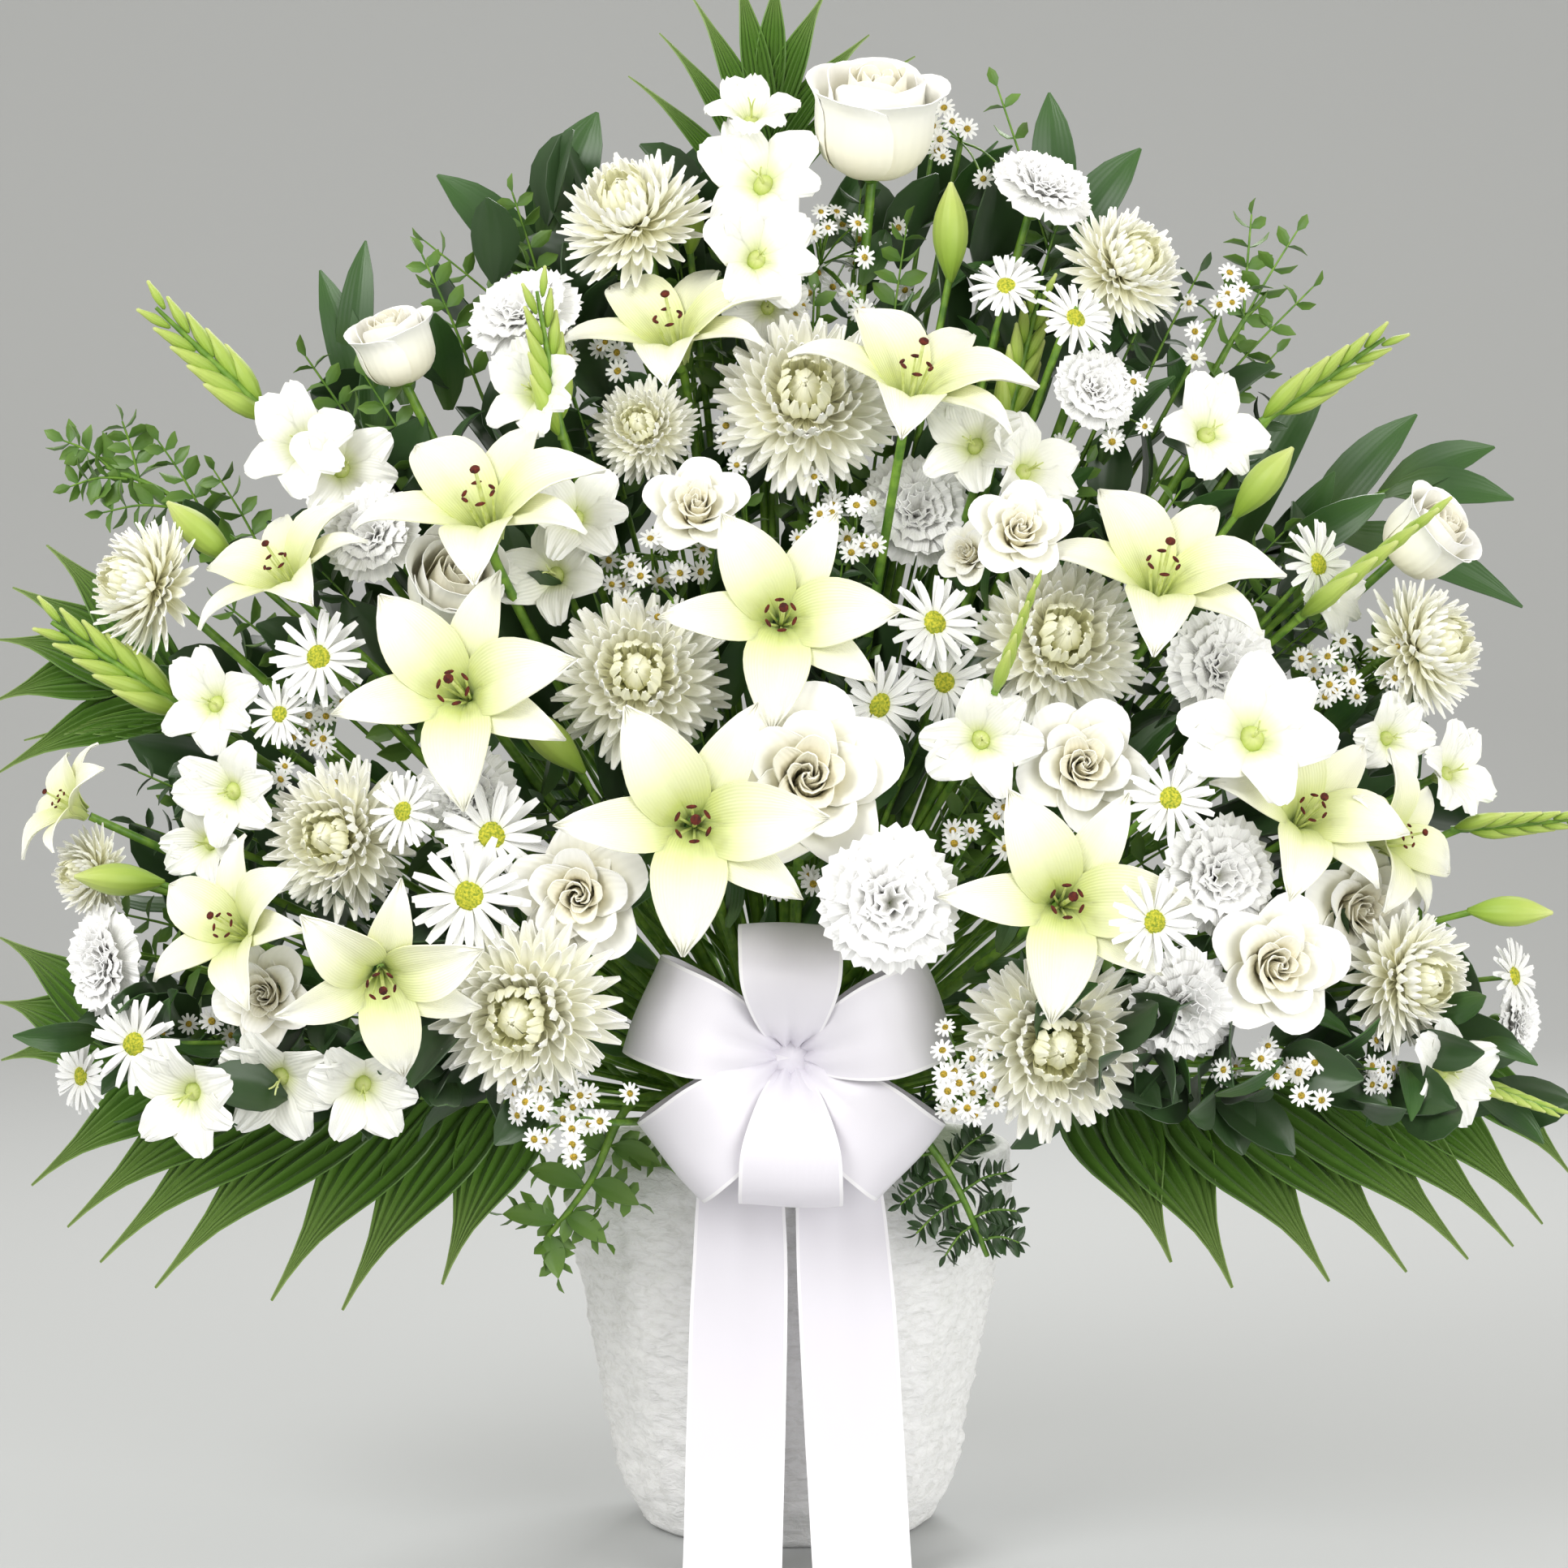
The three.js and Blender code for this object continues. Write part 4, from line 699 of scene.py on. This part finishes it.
spear = [Vector((0, 0, -0.46)), Vector((0, 0, 0)), Vector((0, 0, 0.42))]
spear_buds = [stalk(spear, 0.03, 0.012, stalk_green)]
for k in range(10):
    size, side = 0.21 - 0.013 * k, 1 if k % 2 else -1
    outline = [0.01, 0.2 * size, 0.27 * size, 0.24 * size, 0.14 * size, 0.01]
    bud = lump(bud_green, (1, 1, size), outline, rings=8, columns=9)
    lean = Matrix.Translation((side * 0.04, 0, -0.36 + 0.086 * k)) @ Matrix.Rotation(side * 0.3, 4, "Y")
    bud.data.transform(lean @ Matrix.Translation((0, 0, 0.6 * size)))
    spear_buds.append(bud)
spear_head = join("spear_head", spear_buds)
floret_head.data.transform(Matrix.Diagonal((1.34, 1.34, 1.06, 1)))
HEADS["floret"] = (floret_head, 0.8, 0.008, 0.0024, ())
HEADS["spear"] = (spear_head, 0.4, 0.006, 0.0026, ())
dress_stems({
    "gladiolus_top": [
        ("floret", [-22, 872], 22, [0, -0.7, 0.8], 6), ("floret", [-17, 830], 30, [-0.2, -1, 0.35], 10),
        ("floret", [-16, 782], 27, [0.2, -1, 0.2], 22), ("floret", [-12, 750], 20, [0, -1, 0], 0)],
    "gladiolus_left": [
        ("floret", [-300, 668], 27, [-0.3, -1, 0.3], 10),
        ("spear", [-352, 716], 110, [-0.72, -0.1, 0.7], 0), ("floret", [-272, 652], 25, [0.2, -1, 0.1], 4)],
    "gladiolus_upper_left": [
        ("floret", [-158, 700], 24, [-0.5, -1, 0.3], 28),
        ("spear", [-146, 716], 100, [-0.16, -0.2, 1], 34), ("floret", [-130, 624], 24, [0, -1, 0.3], 22),
        ("floret", [-146, 588], 25, [-0.3, -1, 0.2], 6)],
    "gladiolus_upper_right": [
        ("floret", [112, 668], 24, [-0.4, -1, 0.3], 36), ("spear", [144, 716], 100, [0.25, -0.1, 1], -14),
        ("floret", [152, 652], 24, [0.6, -1, 0.3], 30), ("spear", [140, 546], 76, [0.35, -0.35, 1], 66),
        ("floret", [120, 484], 26, [0, -1, 0], 30)],
    "gladiolus_right": [
        ("floret", [262, 676], 26, [0.3, -1, 0.4], 0), ("spear", [330, 706], 100, [0.8, -0.1, 0.55], 0),
        ("floret", [334, 578], 22, [0.7, -0.8, 0.2], -18),
        ("spear", [356, 592], 112, [0.75, -0.25, 0.62], 26),
        ("floret", [290, 490], 34, [0.1, -1, 0.3], 70), ("floret", [374, 486], 20, [0.4, -1, 0.1], 2)],
    "gladiolus_far_left": [
        ("floret", [-356, 508], 24, [-0.3, -1, 0.2], 8),
        ("spear", [-412, 530], 110, [-0.8, -0.2, 0.55], 0), ("floret", [-346, 452], 24, [-0.3, -1, 0], 20),
        ("floret", [-362, 420], 20, [-0.5, -1, 0], 6)],
    "gladiolus_far_right": [
        ("floret", [414, 466], 22, [0.6, -0.8, 0.3], -4), ("spear", [448, 432], 80, [0.95, -0.25, 0.1], 0),
        ("floret", [412, 278], 24, [0.5, -1, 0], 10), ("spear", [448, 264], 64, [0.9, -0.35, -0.3], 10)],
    "gladiolus_low_left": [
        ("floret", [-374, 262], 26, [-0.4, -1, -0.2], 60),
        ("floret", [-316, 270], 26, [-0.1, -1, -0.3], 10), ("floret", [-262, 266], 24, [0.1, -1, -0.3], 6)],
}, stalk_green)

# Asters
# Sprays of small white asters: stars of 15 mm with brown-gold eyes on thin forked stalks.
eye_gold = plain_finish("eye_gold", "#6e6a1c", "#c7a22e", grain=900, gloss=0.8)
aster_ray = petal(daisy_white, 0.85, 0.3, RAY, [10, 4, -2, -8], foot=(0.12, 0), across=2, along=2)
aster_head = thicken("aster_rays", whorl(aster_ray, 11), 0.03)
aster_eye = lump(eye_gold, (0.3, 0.3, 0.18), rings=6, columns=9)
aster_head = join("aster_head", [aster_head, aster_eye])
for node, clusters in {
    "asters_top": [
        [[42, 784], -54, [[-14, -22], [-8, 16], [26, 14], [30, -24]]], [[106, 850], -10, [[4, 8]]]],
    "asters_centre": [
        [[-82, 580], 20, [[-14, 12], [16, -16], [-2, 28]]], [[42, 610], 20, [[-16, 10], [12, -6]]]],
    "asters_low_left": [
        [[-136, 246], 24, [[-26, 14], [-14, -10], [20, 2]]], [[-292, 482], 0, [[0, 0]]]],
    "asters_right": [
        [[316, 276], 16, [[-46, 4], [2, -12], [22, 10], [52, 4]]],
        [[106, 270], 20, [[-10, 22], [10, -18]]], [[352, 516], 10, [[-4, 4]]]],
}.items():
    pieces, lines, fork = [], [], None
    for place, lift, stars in clusters:
        crown = seen(place, front_depth(place) + lift - 46)
        way_out = (crown - HUB).normalized()
        start = fork or HUB + way_out * STEM_START
        lines.append(([start, start.lerp(crown, 0.5), crown], 0.002 if fork else TRUNK_RADIUS, 0.0018))
        spots = list(stars) + [[chance.uniform(-26, 26), chance.uniform(-24, 24)] for _ in range(5)]
        for across, up in spots:
            spot = [place[0] + across, place[1] + up]
            middle = seen(spot, front_depth(spot) + lift + chance.uniform(-4, 4))
            face = (middle - crown).normalized()
            pieces.append(copy_of(aster_head, facing(face, across, middle, 0.0075)))
            lines.append(([crown, crown.lerp(middle, 0.5) + Vector((0, 0, 0.003)), middle], 0.0009, 0.0007))
        fork = fork or HUB + way_out * FORK
    adopt(join(node + "_dressed", [stalks(lines, stalk_green, steps=3, roundness=0)] + pieces), node)

# Greens
# Palm leaflets are pleated and drawn out to a thread, lance leaves are smooth, the salal leaves behind are
# broad and leathery, and fern and myrtle sprigs hang over the rim. Each leaf grows where its solid does.
palm_green = petal_finish("palm_leaflet", ((0.0, "#45681f"), (0.5, "#5a8529"), (1.0, "#93ab60")), veins=14,
                          gloss=0.42, streak="#35561f", relief=0.0005, glow=0.0)
salal_green = petal_finish("salal_leaf", ((0.0, "#27401c"), (1.0, "#35542a")), veins=5, gloss=0.36,
                           streak="#1d3217", relief=0.0001, glow=0.0)
myrtle_green = petal_finish("myrtle_leaf", ((0.0, "#4d7527"), (1.0, "#6c8f37")), veins=3, gloss=0.45,
                            streak="#3b5f1e", relief=0.0001, glow=0.0)
STRAP = [0.4, 0.85, 1.0, 0.98, 0.82, 0.54, 0.26, 0.1, 0.02]
OVAL = [0.1, 0.62, 0.94, 1.0, 0.88, 0.6, 0.06]


def leaf(finish, foot, tip, half, outline, bow=(0, -0.05, 0.07), fold=0.22, pleats=0, across=4, along=8,
         twist=0.25):
    """One leaf from a grid blank, from its foot to its tip along a bowed midrib, folded and pleated."""
    bpy.ops.mesh.primitive_grid_add(x_subdivisions=across, y_subdivisions=along, size=1)
    made = bpy.context.object
    way = tip - foot
    side = way.cross(Vector((0, -1, twist))).normalized()
    up = side.cross(way).normalized()
    for vertex in made.data.vertices:
        u, v = 2 * vertex.co.x, vertex.co.y + 0.5
        reach = half * glide(outline, v)
        lift = fold * reach * abs(u) + 0.13 * reach * math.cos(pleats * math.pi * u) * (1 if pleats else 0)
        rib = foot + way * v + Vector(bow) * way.length * 4 * v * (1 - v)
        vertex.co = rib + side * reach * u + up * lift
    made.data.materials.append(finish)
    return made


def leaf_master(name, finish, width, outline, across=4, along=6):
    """A leaf one unit long that grows up from its foot and arches over, to be copied at any size."""
    blank = petal(finish, 1.0, width, outline, [92, 86, 76, 64, 52], cup=0.25, groove=0.15, foot=(0, 0),
                  across=across,
                  along=along)
    return thicken(name, [blank], 0.014)


myrtle_leaf = leaf_master("myrtle_leaf", myrtle_green, 0.52, OVAL, across=2, along=3)
fern_leaf = leaf_master("fern_leaf", salal_green, 0.4, LANCE, across=2, along=4)
salal_leaf = leaf_master("salal_leaf", salal_green, 0.56, OVAL)
lance_leaf = leaf_master("lance_leaf", leaf_green, 0.34, LANCE)


def twig(master, foot, tip, size, pairs, lines):
    """Small leaves in pairs, which spread from a thin twig and point along it. The twig is added to lines."""
    stem = [foot, foot.lerp(tip, 0.5) + Vector((0, 0, 0.003)), tip]
    way = (tip - foot).normalized()
    side = way.cross(Vector((0, -1, 0.2))).normalized()
    made = []
    lines.append((stem, 0.0011, 0.0006))
    for k in range(pairs + 1):
        share = 0.16 + 0.84 * k / pairs
        for hand in ((1, -1) if k < pairs else (0,)):
            lean = Vector((chance.uniform(-0.2, 0.2), chance.uniform(-0.35, 0.35), chance.uniform(-0.2, 0.2)))
            aim = (way * (0.55 if hand else 1) + side * hand + lean).normalized()
            reach = size * (1.15 - 0.5 * share) * chance.uniform(0.85, 1.1)
            made.append(copy_of(master, facing(aim, chance.uniform(0, math.tau), glide(stem, share), reach)))
    return made


def along_line(line, share):
    spans = [(b - a).length for a, b in zip(line, line[1:])]
    left = share * sum(spans)
    for a, b, span in zip(line, line[1:], spans):
        if left <= span:
            return a.lerp(b, left / span)
        left -= span
    return line[-1].copy()


for node, (branches, leaves) in {
    "palm_top": (
        [[[-6, 560, -12], [-12, 872, -14]]],
        [
         [0, 0.86, [-97, 890], 0, 8], [0, 0.9, [-78, 916], -6, 8], [0, 0.93, [-58, 938], -10, 9],
         [0, 0.96, [-32, 958], -12, 9], [0, 0.99, [-6, 956], -12, 9], [0, 0.97, [24, 942], -12, 10],
         [0, 0.94, [50, 915], -10, 10], [0, 0.9, [78, 902], -6, 9]]),
    "palm_left": (
        [[[-150, 264, 84], [-300, 272, 100], [-428, 296, 70]], [[-330, 480, 40], [-408, 524, 30]]],
        [
         [0, 0.32, [-214, 146], 128, 17], [0, 0.38, [-276, 130], 128, 18], [0, 0.46, [-320, 136], 122, 18],
         [0, 0.53, [-392, 144], 114, 18], [0, 0.6, [-426, 160], 108, 17], [0, 0.68, [-446, 182], 102, 16],
         [0, 0.78, [-468, 208], 92, 15], [0, 0.92, [-486, 286], 70, 12], [0, 0.97, [-488, 322], 60, 12],
         [0, 0.93, [-486, 362], 50, 12], [1, 0.9, [-455, 604], 20, 12], [1, 0.94, [-476, 578], 20, 11],
         [1, 0.97, [-486, 546], 26, 11], [1, 0.99, [-488, 508], 34, 12], [1, 0.9, [-486, 464], 44, 12],
         [1, 0.8, [-470, 484], 40, 8]]),
    "palm_right": (
        [[[150, 262, 50], [300, 270, 100], [428, 288, 70]]],
        [
         [0, 0.36, [238, 160], 128, 20], [0, 0.42, [276, 144], 128, 20], [0, 0.5, [336, 148], 120, 20],
         [0, 0.57, [384, 154], 112, 18], [0, 0.64, [422, 162], 106, 17], [0, 0.72, [450, 170], 100, 15],
         [0, 0.82, [468, 184], 90, 14], [0, 0.94, [486, 214], 72, 12]]),
    "leaves_left": (
        [[[-128, 610, 0], [-150, 800, -4]], [[-250, 660, 0], [-276, 700, 0]],
         [[-330, 600, -4], [-418, 652, -6]]],
        [
         [0, 0.97, [-116, 868], -6, 18], [0, 0.92, [-214, 830], 0, 15], [0, 0.84, [-222, 790], 0, 8],
         [1, 0.9, [-286, 772], -4, 13], [1, 0.97, [-258, 790], -4, 11], [1, 0.8, [-330, 690], 10, 14],
         [2, 0.76, [-352, 650], 0, 8], [2, 0.8, [-392, 608], 6, 8], [2, 0.85, [-386, 668], 0, 8],
         [2, 0.9, [-420, 624], 4, 8], [2, 0.95, [-408, 680], 0, 8], [2, 0.99, [-444, 668], 0, 9],
         [2, 0.97, [-440, 640], 4, 8]]),
    "leaves_right": (
        [[[250, 560, 0], [372, 640, 0]], [[118, 600, -4], [168, 800, -10]],
         [[250, 690, -6], [292, 756, -8]]],
        [
         [0, 0.7, [336, 716], 0, 15], [0, 0.86, [386, 684], 0, 14], [0, 0.98, [434, 664], 0, 12],
         [0, 0.99, [446, 632], 10, 12], [0, 0.9, [452, 566], 20, 13], [0, 0.5, [300, 690], -10, 14],
         [1, 0.97, [160, 880], -10, 14], [1, 0.93, [216, 846], -10, 15], [1, 0.95, [128, 884], -8, 8],
         [2, 0.7, [300, 722], -6, 8], [2, 0.8, [322, 762], -6, 7], [2, 0.95, [284, 806], -6, 8],
         [2, 0.9, [312, 796], -6, 7]]),
    "fern_rim_right": (
        [[[60, 262, 138], [100, 216, 146], [124, 164, 132]]],
        [
         [0, 0.62, [84, 262], 142, 5], [0, 0.66, [62, 214], 146, 5], [0, 0.72, [122, 240], 140, 5],
         [0, 0.74, [70, 196], 146, 5], [0, 0.8, [136, 216], 134, 5], [0, 0.82, [80, 178], 146, 5],
         [0, 0.88, [142, 192], 130, 5], [0, 0.9, [98, 164], 142, 4], [0, 0.95, [144, 172], 128, 4]]),
    "sprig_rim_left": (
        [[[-92, 262, 128], [-122, 210, 132], [-150, 174, 122]]],
        [
         [0, 0.66, [-78, 220], 134, 7], [0, 0.68, [-136, 250], 120, 7], [0, 0.78, [-92, 196], 138, 7],
         [0, 0.8, [-160, 218], 116, 7], [0, 0.9, [-112, 172], 136, 7], [0, 0.93, [-176, 190], 116, 7],
         [0, 0.98, [-142, 150], 130, 7]]),
    "salal_back": (
        [[[-60, 380, -70], [-120, 540, -66]], [[40, 500, -60], [110, 640, -56]],
         [[-250, 330, -40], [-300, 380, -36]], [[250, 330, -40], [310, 400, -36]]],
        [
         [0, 0.6, [-20, 470], -84, 34], [0, 0.98, [-150, 660], -50, 34], [0, 0.8, [-220, 560], -50, 32],
         [1, 0.98, [140, 740], -34, 32], [1, 0.7, [210, 600], -50, 34], [1, 0.6, [20, 670], -50, 30],
         [2, 0.98, [-380, 470], -20, 32], [3, 0.98, [390, 480], -20, 32]]),
}.items():
    lines, twigs, pieces, blades = [], [], [], []
    kind = node.split("_")[0]
    for k, places in enumerate(branches):
        points = [seen(one, one[2]) for one in places]
        first = lines[0][1] if k else points[0]
        start = HUB + (first - HUB).normalized() * (FORK if k else STEM_START)
        lines.append([start] + points)
        twigs.append((lines[-1], 0.0024 if k else TRUNK_RADIUS, 0.0016))
    for branch, share, place, depth, half in leaves:
        foot, tip = along_line(lines[branch], share), seen(place, depth)
        if kind == "palm":
            wide = half * (1.0 if node == "palm_top" else 1.45) / 1000
            blades.append(leaf(palm_green, foot, tip, wide, STRAP, pleats=6, across=12, along=12, twist=0.5))
        elif kind == "salal":
            blades.append(leaf(salal_green, foot, tip, half / 1000, OVAL, fold=0.15, across=6, along=8))
        elif kind == "leaves" and half >= 10:
            blades.append(leaf(leaf_green, foot, tip, half / 1000, LANCE, across=6, along=8))
        elif kind == "sprig":
            blades.append(leaf(myrtle_green, foot, tip, half / 1000, OVAL, across=4, along=6))
            pieces += twig(myrtle_leaf, foot, tip, 0.016, 3, twigs)
        else:
            pieces += (twig(fern_leaf, foot, tip, 0.014, 9, twigs) if kind == "fern"
                       else twig(myrtle_leaf, foot, tip, 0.02, 5, twigs))
    if blades:
        pieces.append(thicken("blades", blades, 0.0009))
    pieces.append(stalks(twigs, stalk_green))
    adopt(join(node + "_dressed", pieces), node)

# Filler greens
# Salal tips, lance leaves and myrtle pushed in among the flowers, so that little of the stems shows from the
# front. The myrtle stands on stalks from the foam. The salal and lance leaves are loose, with no stalk.
def fan_reach(up):
    return 440 * math.sqrt(max(0.0, 1 - ((up - 330) / 570) ** 2)) if up > 330 else 430


filler, lines = [], []
for k in range(340):
    up = chance.uniform(262, 800)
    place = (chance.uniform(-1, 1) * (fan_reach(up) - (100 if up > 640 else 60)), up)
    foot = seen(place, front_depth(place) - chance.uniform(50, 150))
    if up < 420 and abs(place[0]) < 130:
        continue
    out = (foot - HUB).normalized()
    lean = Vector((chance.uniform(-0.8, 0.8), chance.uniform(-0.9, 0.1), chance.uniform(-0.5, 0.8)))
    turn, reach = chance.uniform(0, math.tau), chance.uniform(0.045, 0.078)
    aim = (out + lean).normalized()
    filler.append(copy_of(salal_leaf if k % 3 else lance_leaf, facing(aim, turn, foot, reach)))
for k in range(110):
    hand = 1 if k % 2 else -1
    place = (hand * chance.uniform(140, 430), chance.uniform(256, 322))
    foot = seen(place, front_depth(place) - chance.uniform(-4, 70))
    lean = Vector((hand * chance.uniform(-0.2, 0.9), chance.uniform(-0.9, -0.1), chance.uniform(-0.5, 0.5)))
    turn, reach = chance.uniform(0, math.tau), chance.uniform(0.04, 0.062)
    filler.append(copy_of(salal_leaf if k % 3 else lance_leaf, facing(lean.normalized(), turn, foot, reach)))
for k in range(110):
    up = chance.uniform(300, 830)
    place = (chance.uniform(-1, 1) * (fan_reach(up) - 20), up)
    if up < 440 and abs(place[0]) < 150:
        continue
    tip = seen(place, front_depth(place) - chance.uniform(10, 70))
    way = (tip - HUB).normalized()
    start, foot = HUB + way * STEM_START, tip - way * 0.09
    lines.append(([start, start.lerp(foot, 0.5), foot], 0.0018, 0.0012))
    filler += twig(myrtle_leaf if k % 4 else fern_leaf, foot, tip, 0.021, 6, lines)
filler = join("filler_greens", [stalks(lines, stalk_green, steps=3, roundness=0)] + filler)
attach(filler, "root")

# Filler asters
# More sprays of the small asters, where the photo shows them between the large flowers. Each is a place
# seen from the front, with its spread across and up, and its count of stars.
filler, lines = [], []
for place, spread, count in (
        ((20, 775), (42, 40), 16), ((90, 855), (16, 14), 6), ((-82, 597), (30, 26), 10),
        ((30, 627), (26, 20), 9), ((192, 682), (34, 24), 10), ((350, 532), (34, 26), 12),
        ((-135, 262), (42, 16), 16), ((108, 280), (24, 28), 12), ((322, 284), (64, 15), 20),
        ((4, 398), (14, 12), 5), ((-296, 486), (26, 22), 9), ((262, 742), (20, 34), 8),
        ((-126, 728), (22, 20), 7), ((-366, 302), (26, 16), 7), ((118, 430), (18, 16), 6),
        ((-30, 668), (16, 20), 6)):
    crown = seen(place, front_depth(place) - 56)
    way = (crown - HUB).normalized()
    start = HUB + way * STEM_START
    lines.append(([start, start.lerp(crown, 0.5), crown], 0.002, 0.0014))
    for _ in range(count):
        spot = [place[0] + spread[0] * chance.uniform(-1, 1), place[1] + spread[1] * chance.uniform(-1, 1)]
        middle = seen(spot, front_depth(spot) + chance.uniform(-14, 8))
        turn, reach = chance.uniform(0, 6), chance.uniform(0.0062, 0.0082)
        filler.append(copy_of(aster_head, facing((middle - crown).normalized(), turn, middle, reach)))
        lines.append(([crown, crown.lerp(middle, 0.5) + Vector((0, 0, 0.003)), middle], 0.0009, 0.0006))
filler = join("filler_asters", [stalks(lines, stalk_green, steps=3, roundness=0)] + filler)
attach(filler, "root")

# Bow
# Six loops of 60 mm double-faced satin ribbon, white with a breath of lavender, wired at its edges. They
# are gathered at one knot on a pick.
KNOT = Vector((0.002, -0.172, 0.309))
RIBBON, LOOP_BULGE = 0.060, 0.040
satin, tree = finish_tree("satin_ribbon")
grid = add_node(tree, "ShaderNodeUVMap", uv_map="UVMap")
way = add_node(tree, "ShaderNodeSeparateXYZ", {0: grid.outputs[0]})
# The whiter #f8f6fa band along each edge is painted highlight, as if the wired edges caught the light; the
# #ebe8f0 lavender grey between is the ribbon's own tint.
edge = add_node(tree, "ShaderNodeMath", {0: way.outputs[0], 1: 0.5, 2: 0.465}, operation="COMPARE")
tint_with_edge_highlight = add_node(tree, "ShaderNodeMix", {"Factor": edge.outputs[0]}, data_type="RGBA")
tint_with_edge_highlight.inputs[6].default_value, tint_with_edge_highlight.inputs[7].default_value = linear("#f8f6fa"), linear("#ebe8f0")
threads = add_node(tree, "ShaderNodeMath", {0: way.outputs[0], 1: 700.0}, operation="MULTIPLY")
weave = add_node(tree, "ShaderNodeMath", {0: threads.outputs[0]}, operation="SINE")
bump = add_node(tree, "ShaderNodeBump", {"Strength": 0.12, "Distance": 0.0002, "Height": weave.outputs[0]})
close_tree(tree, Base_Color=tint_with_edge_highlight.outputs[2], Roughness=0.3, Normal=bump.outputs[0], Anisotropic=0.6,
           Sheen_Weight=0.25,
           Specular_IOR_Level=0.6)


def ribbon(path, widths, side, along=44, pinch=0.0):
    """A length of ribbon along a path. It lies flat across side, and gathers into pleats where it narrows."""
    bpy.ops.mesh.primitive_grid_add(x_subdivisions=12, y_subdivisions=along, size=1)
    made = bpy.context.object
    for vertex in made.data.vertices:
        u, v = 2 * vertex.co.x, vertex.co.y + 0.5
        way = glide(path, v + 0.01) - glide(path, v - 0.01)
        up = side.cross(way).normalized()
        width = glide(widths, v)
        pleat = pinch * (1 - width / RIBBON) * math.cos(2.5 * math.pi * u) * (1 - 0.3 * abs(u))
        sway = 0.0012 * math.sin(7 * v + 2.2 * u) * width / RIBBON
        vertex.co = glide(path, v) + side * width / 2 * u + up * (pleat + sway)
    made.data.materials.append(satin)
    return made


loops, loop_length = [], 0.0
for k, (across, up, length) in enumerate(((0, 1, 0.078), (-0.9, 0.34, 0.092), (0.9, 0.34, 0.092),
                                          (-0.72, -0.62, 0.092), (0, -1, 0.084), (0.72, -0.62, 0.092))):
    out = Vector((across, 0, up)).normalized()
    front = LOOP_BULGE if k % 2 else LOOP_BULGE + 0.008
    path = [KNOT + out * share * length + Vector((0, -depth, 0)) for share, depth in (
        (0.08, 0.005), (0.24, 0.66 * front), (0.56, front), (0.86, 0.86 * front), (1, 0.44 * front),
        (0.86, 0.04 * front), (0.44, -0.08 * front), (0.1, -0.004))]
    widths = [0.015, 0.036, 0.056, RIBBON, RIBBON, RIBBON, 0.046, 0.014]
    loop_length += sum((glide(path, (j + 1) / 60) - glide(path, j / 60)).length for j in range(60))
    loops.append(ribbon(path, widths, out.cross(Vector((0, 1, 0))), pinch=0.003))
loops = thicken("bow_loops", loops, 0.0009)
GATHER = [0.002, 0.012, 0.0165, 0.0165, 0.0165, 0.012, 0.002]
knot = lump(satin, (1, 1, 0.011), GATHER, ridges=9, rings=12, columns=36)
knot.data.transform(Matrix.Translation(KNOT) @ Matrix.Rotation(math.pi / 2, 4, "X"))
pick = (KNOT - HUB).normalized()
pick = stalk([HUB + pick * STEM_START, HUB.lerp(KNOT, 0.6), KNOT], 0.0024, 0.0024, stalk_green)
bow = join("bow_dressed", [loops, knot, pick])
adopt(bow, "bow")

# Ribbon tails
# Two ends of the same satin, held behind the knot. They hang before the vase and run out on the table.
CLEAR_OF_TABLE = 0.0001
tails, tail_length = [], 0.0
for top, across_top, across_foot in ((-5, -25, -33), (9, 27, 46)):
    across = [across_top + (across_foot - across_top) * share
              for share in (0, 0.35, 0.6, 0.8, 0.88, 0.92, 0.96, 1)]
    path = [Vector(one) / 1000 for one in (
        (top, -163.4, 300), (across[0], -149, 252), (across[1], -149, 180), (across[2], -154, 100),
        (across[3], -160, 34), (across[4], -168, 9), (across[5], -180, 2.6), (across[6], -200, 1.9),
        (across[7], -262, 1.9))]
    widths = [0.022, 0.046, 0.056, 0.058, 0.058, 0.058, 0.058, 0.058, 0.058]
    tail_length += sum((glide(path, (j + 1) / 60) - glide(path, j / 60)).length for j in range(60))
    tails.append(ribbon(path, widths, Vector((1, 0, 0)), along=60, pinch=0.003))
tails = thicken("bow_tails_dressed", tails, 0.0008)
for vertex in tails.data.vertices:
    vertex.co.z = max(vertex.co.z, CLEAR_OF_TABLE)
adopt(tails, "bow_tails")

masters = [stem_leaf, aster_head, myrtle_leaf, fern_leaf, salal_leaf, lance_leaf]
for master in masters + [head[0] for head in HEADS.values()]:
    bpy.data.objects.remove(master)
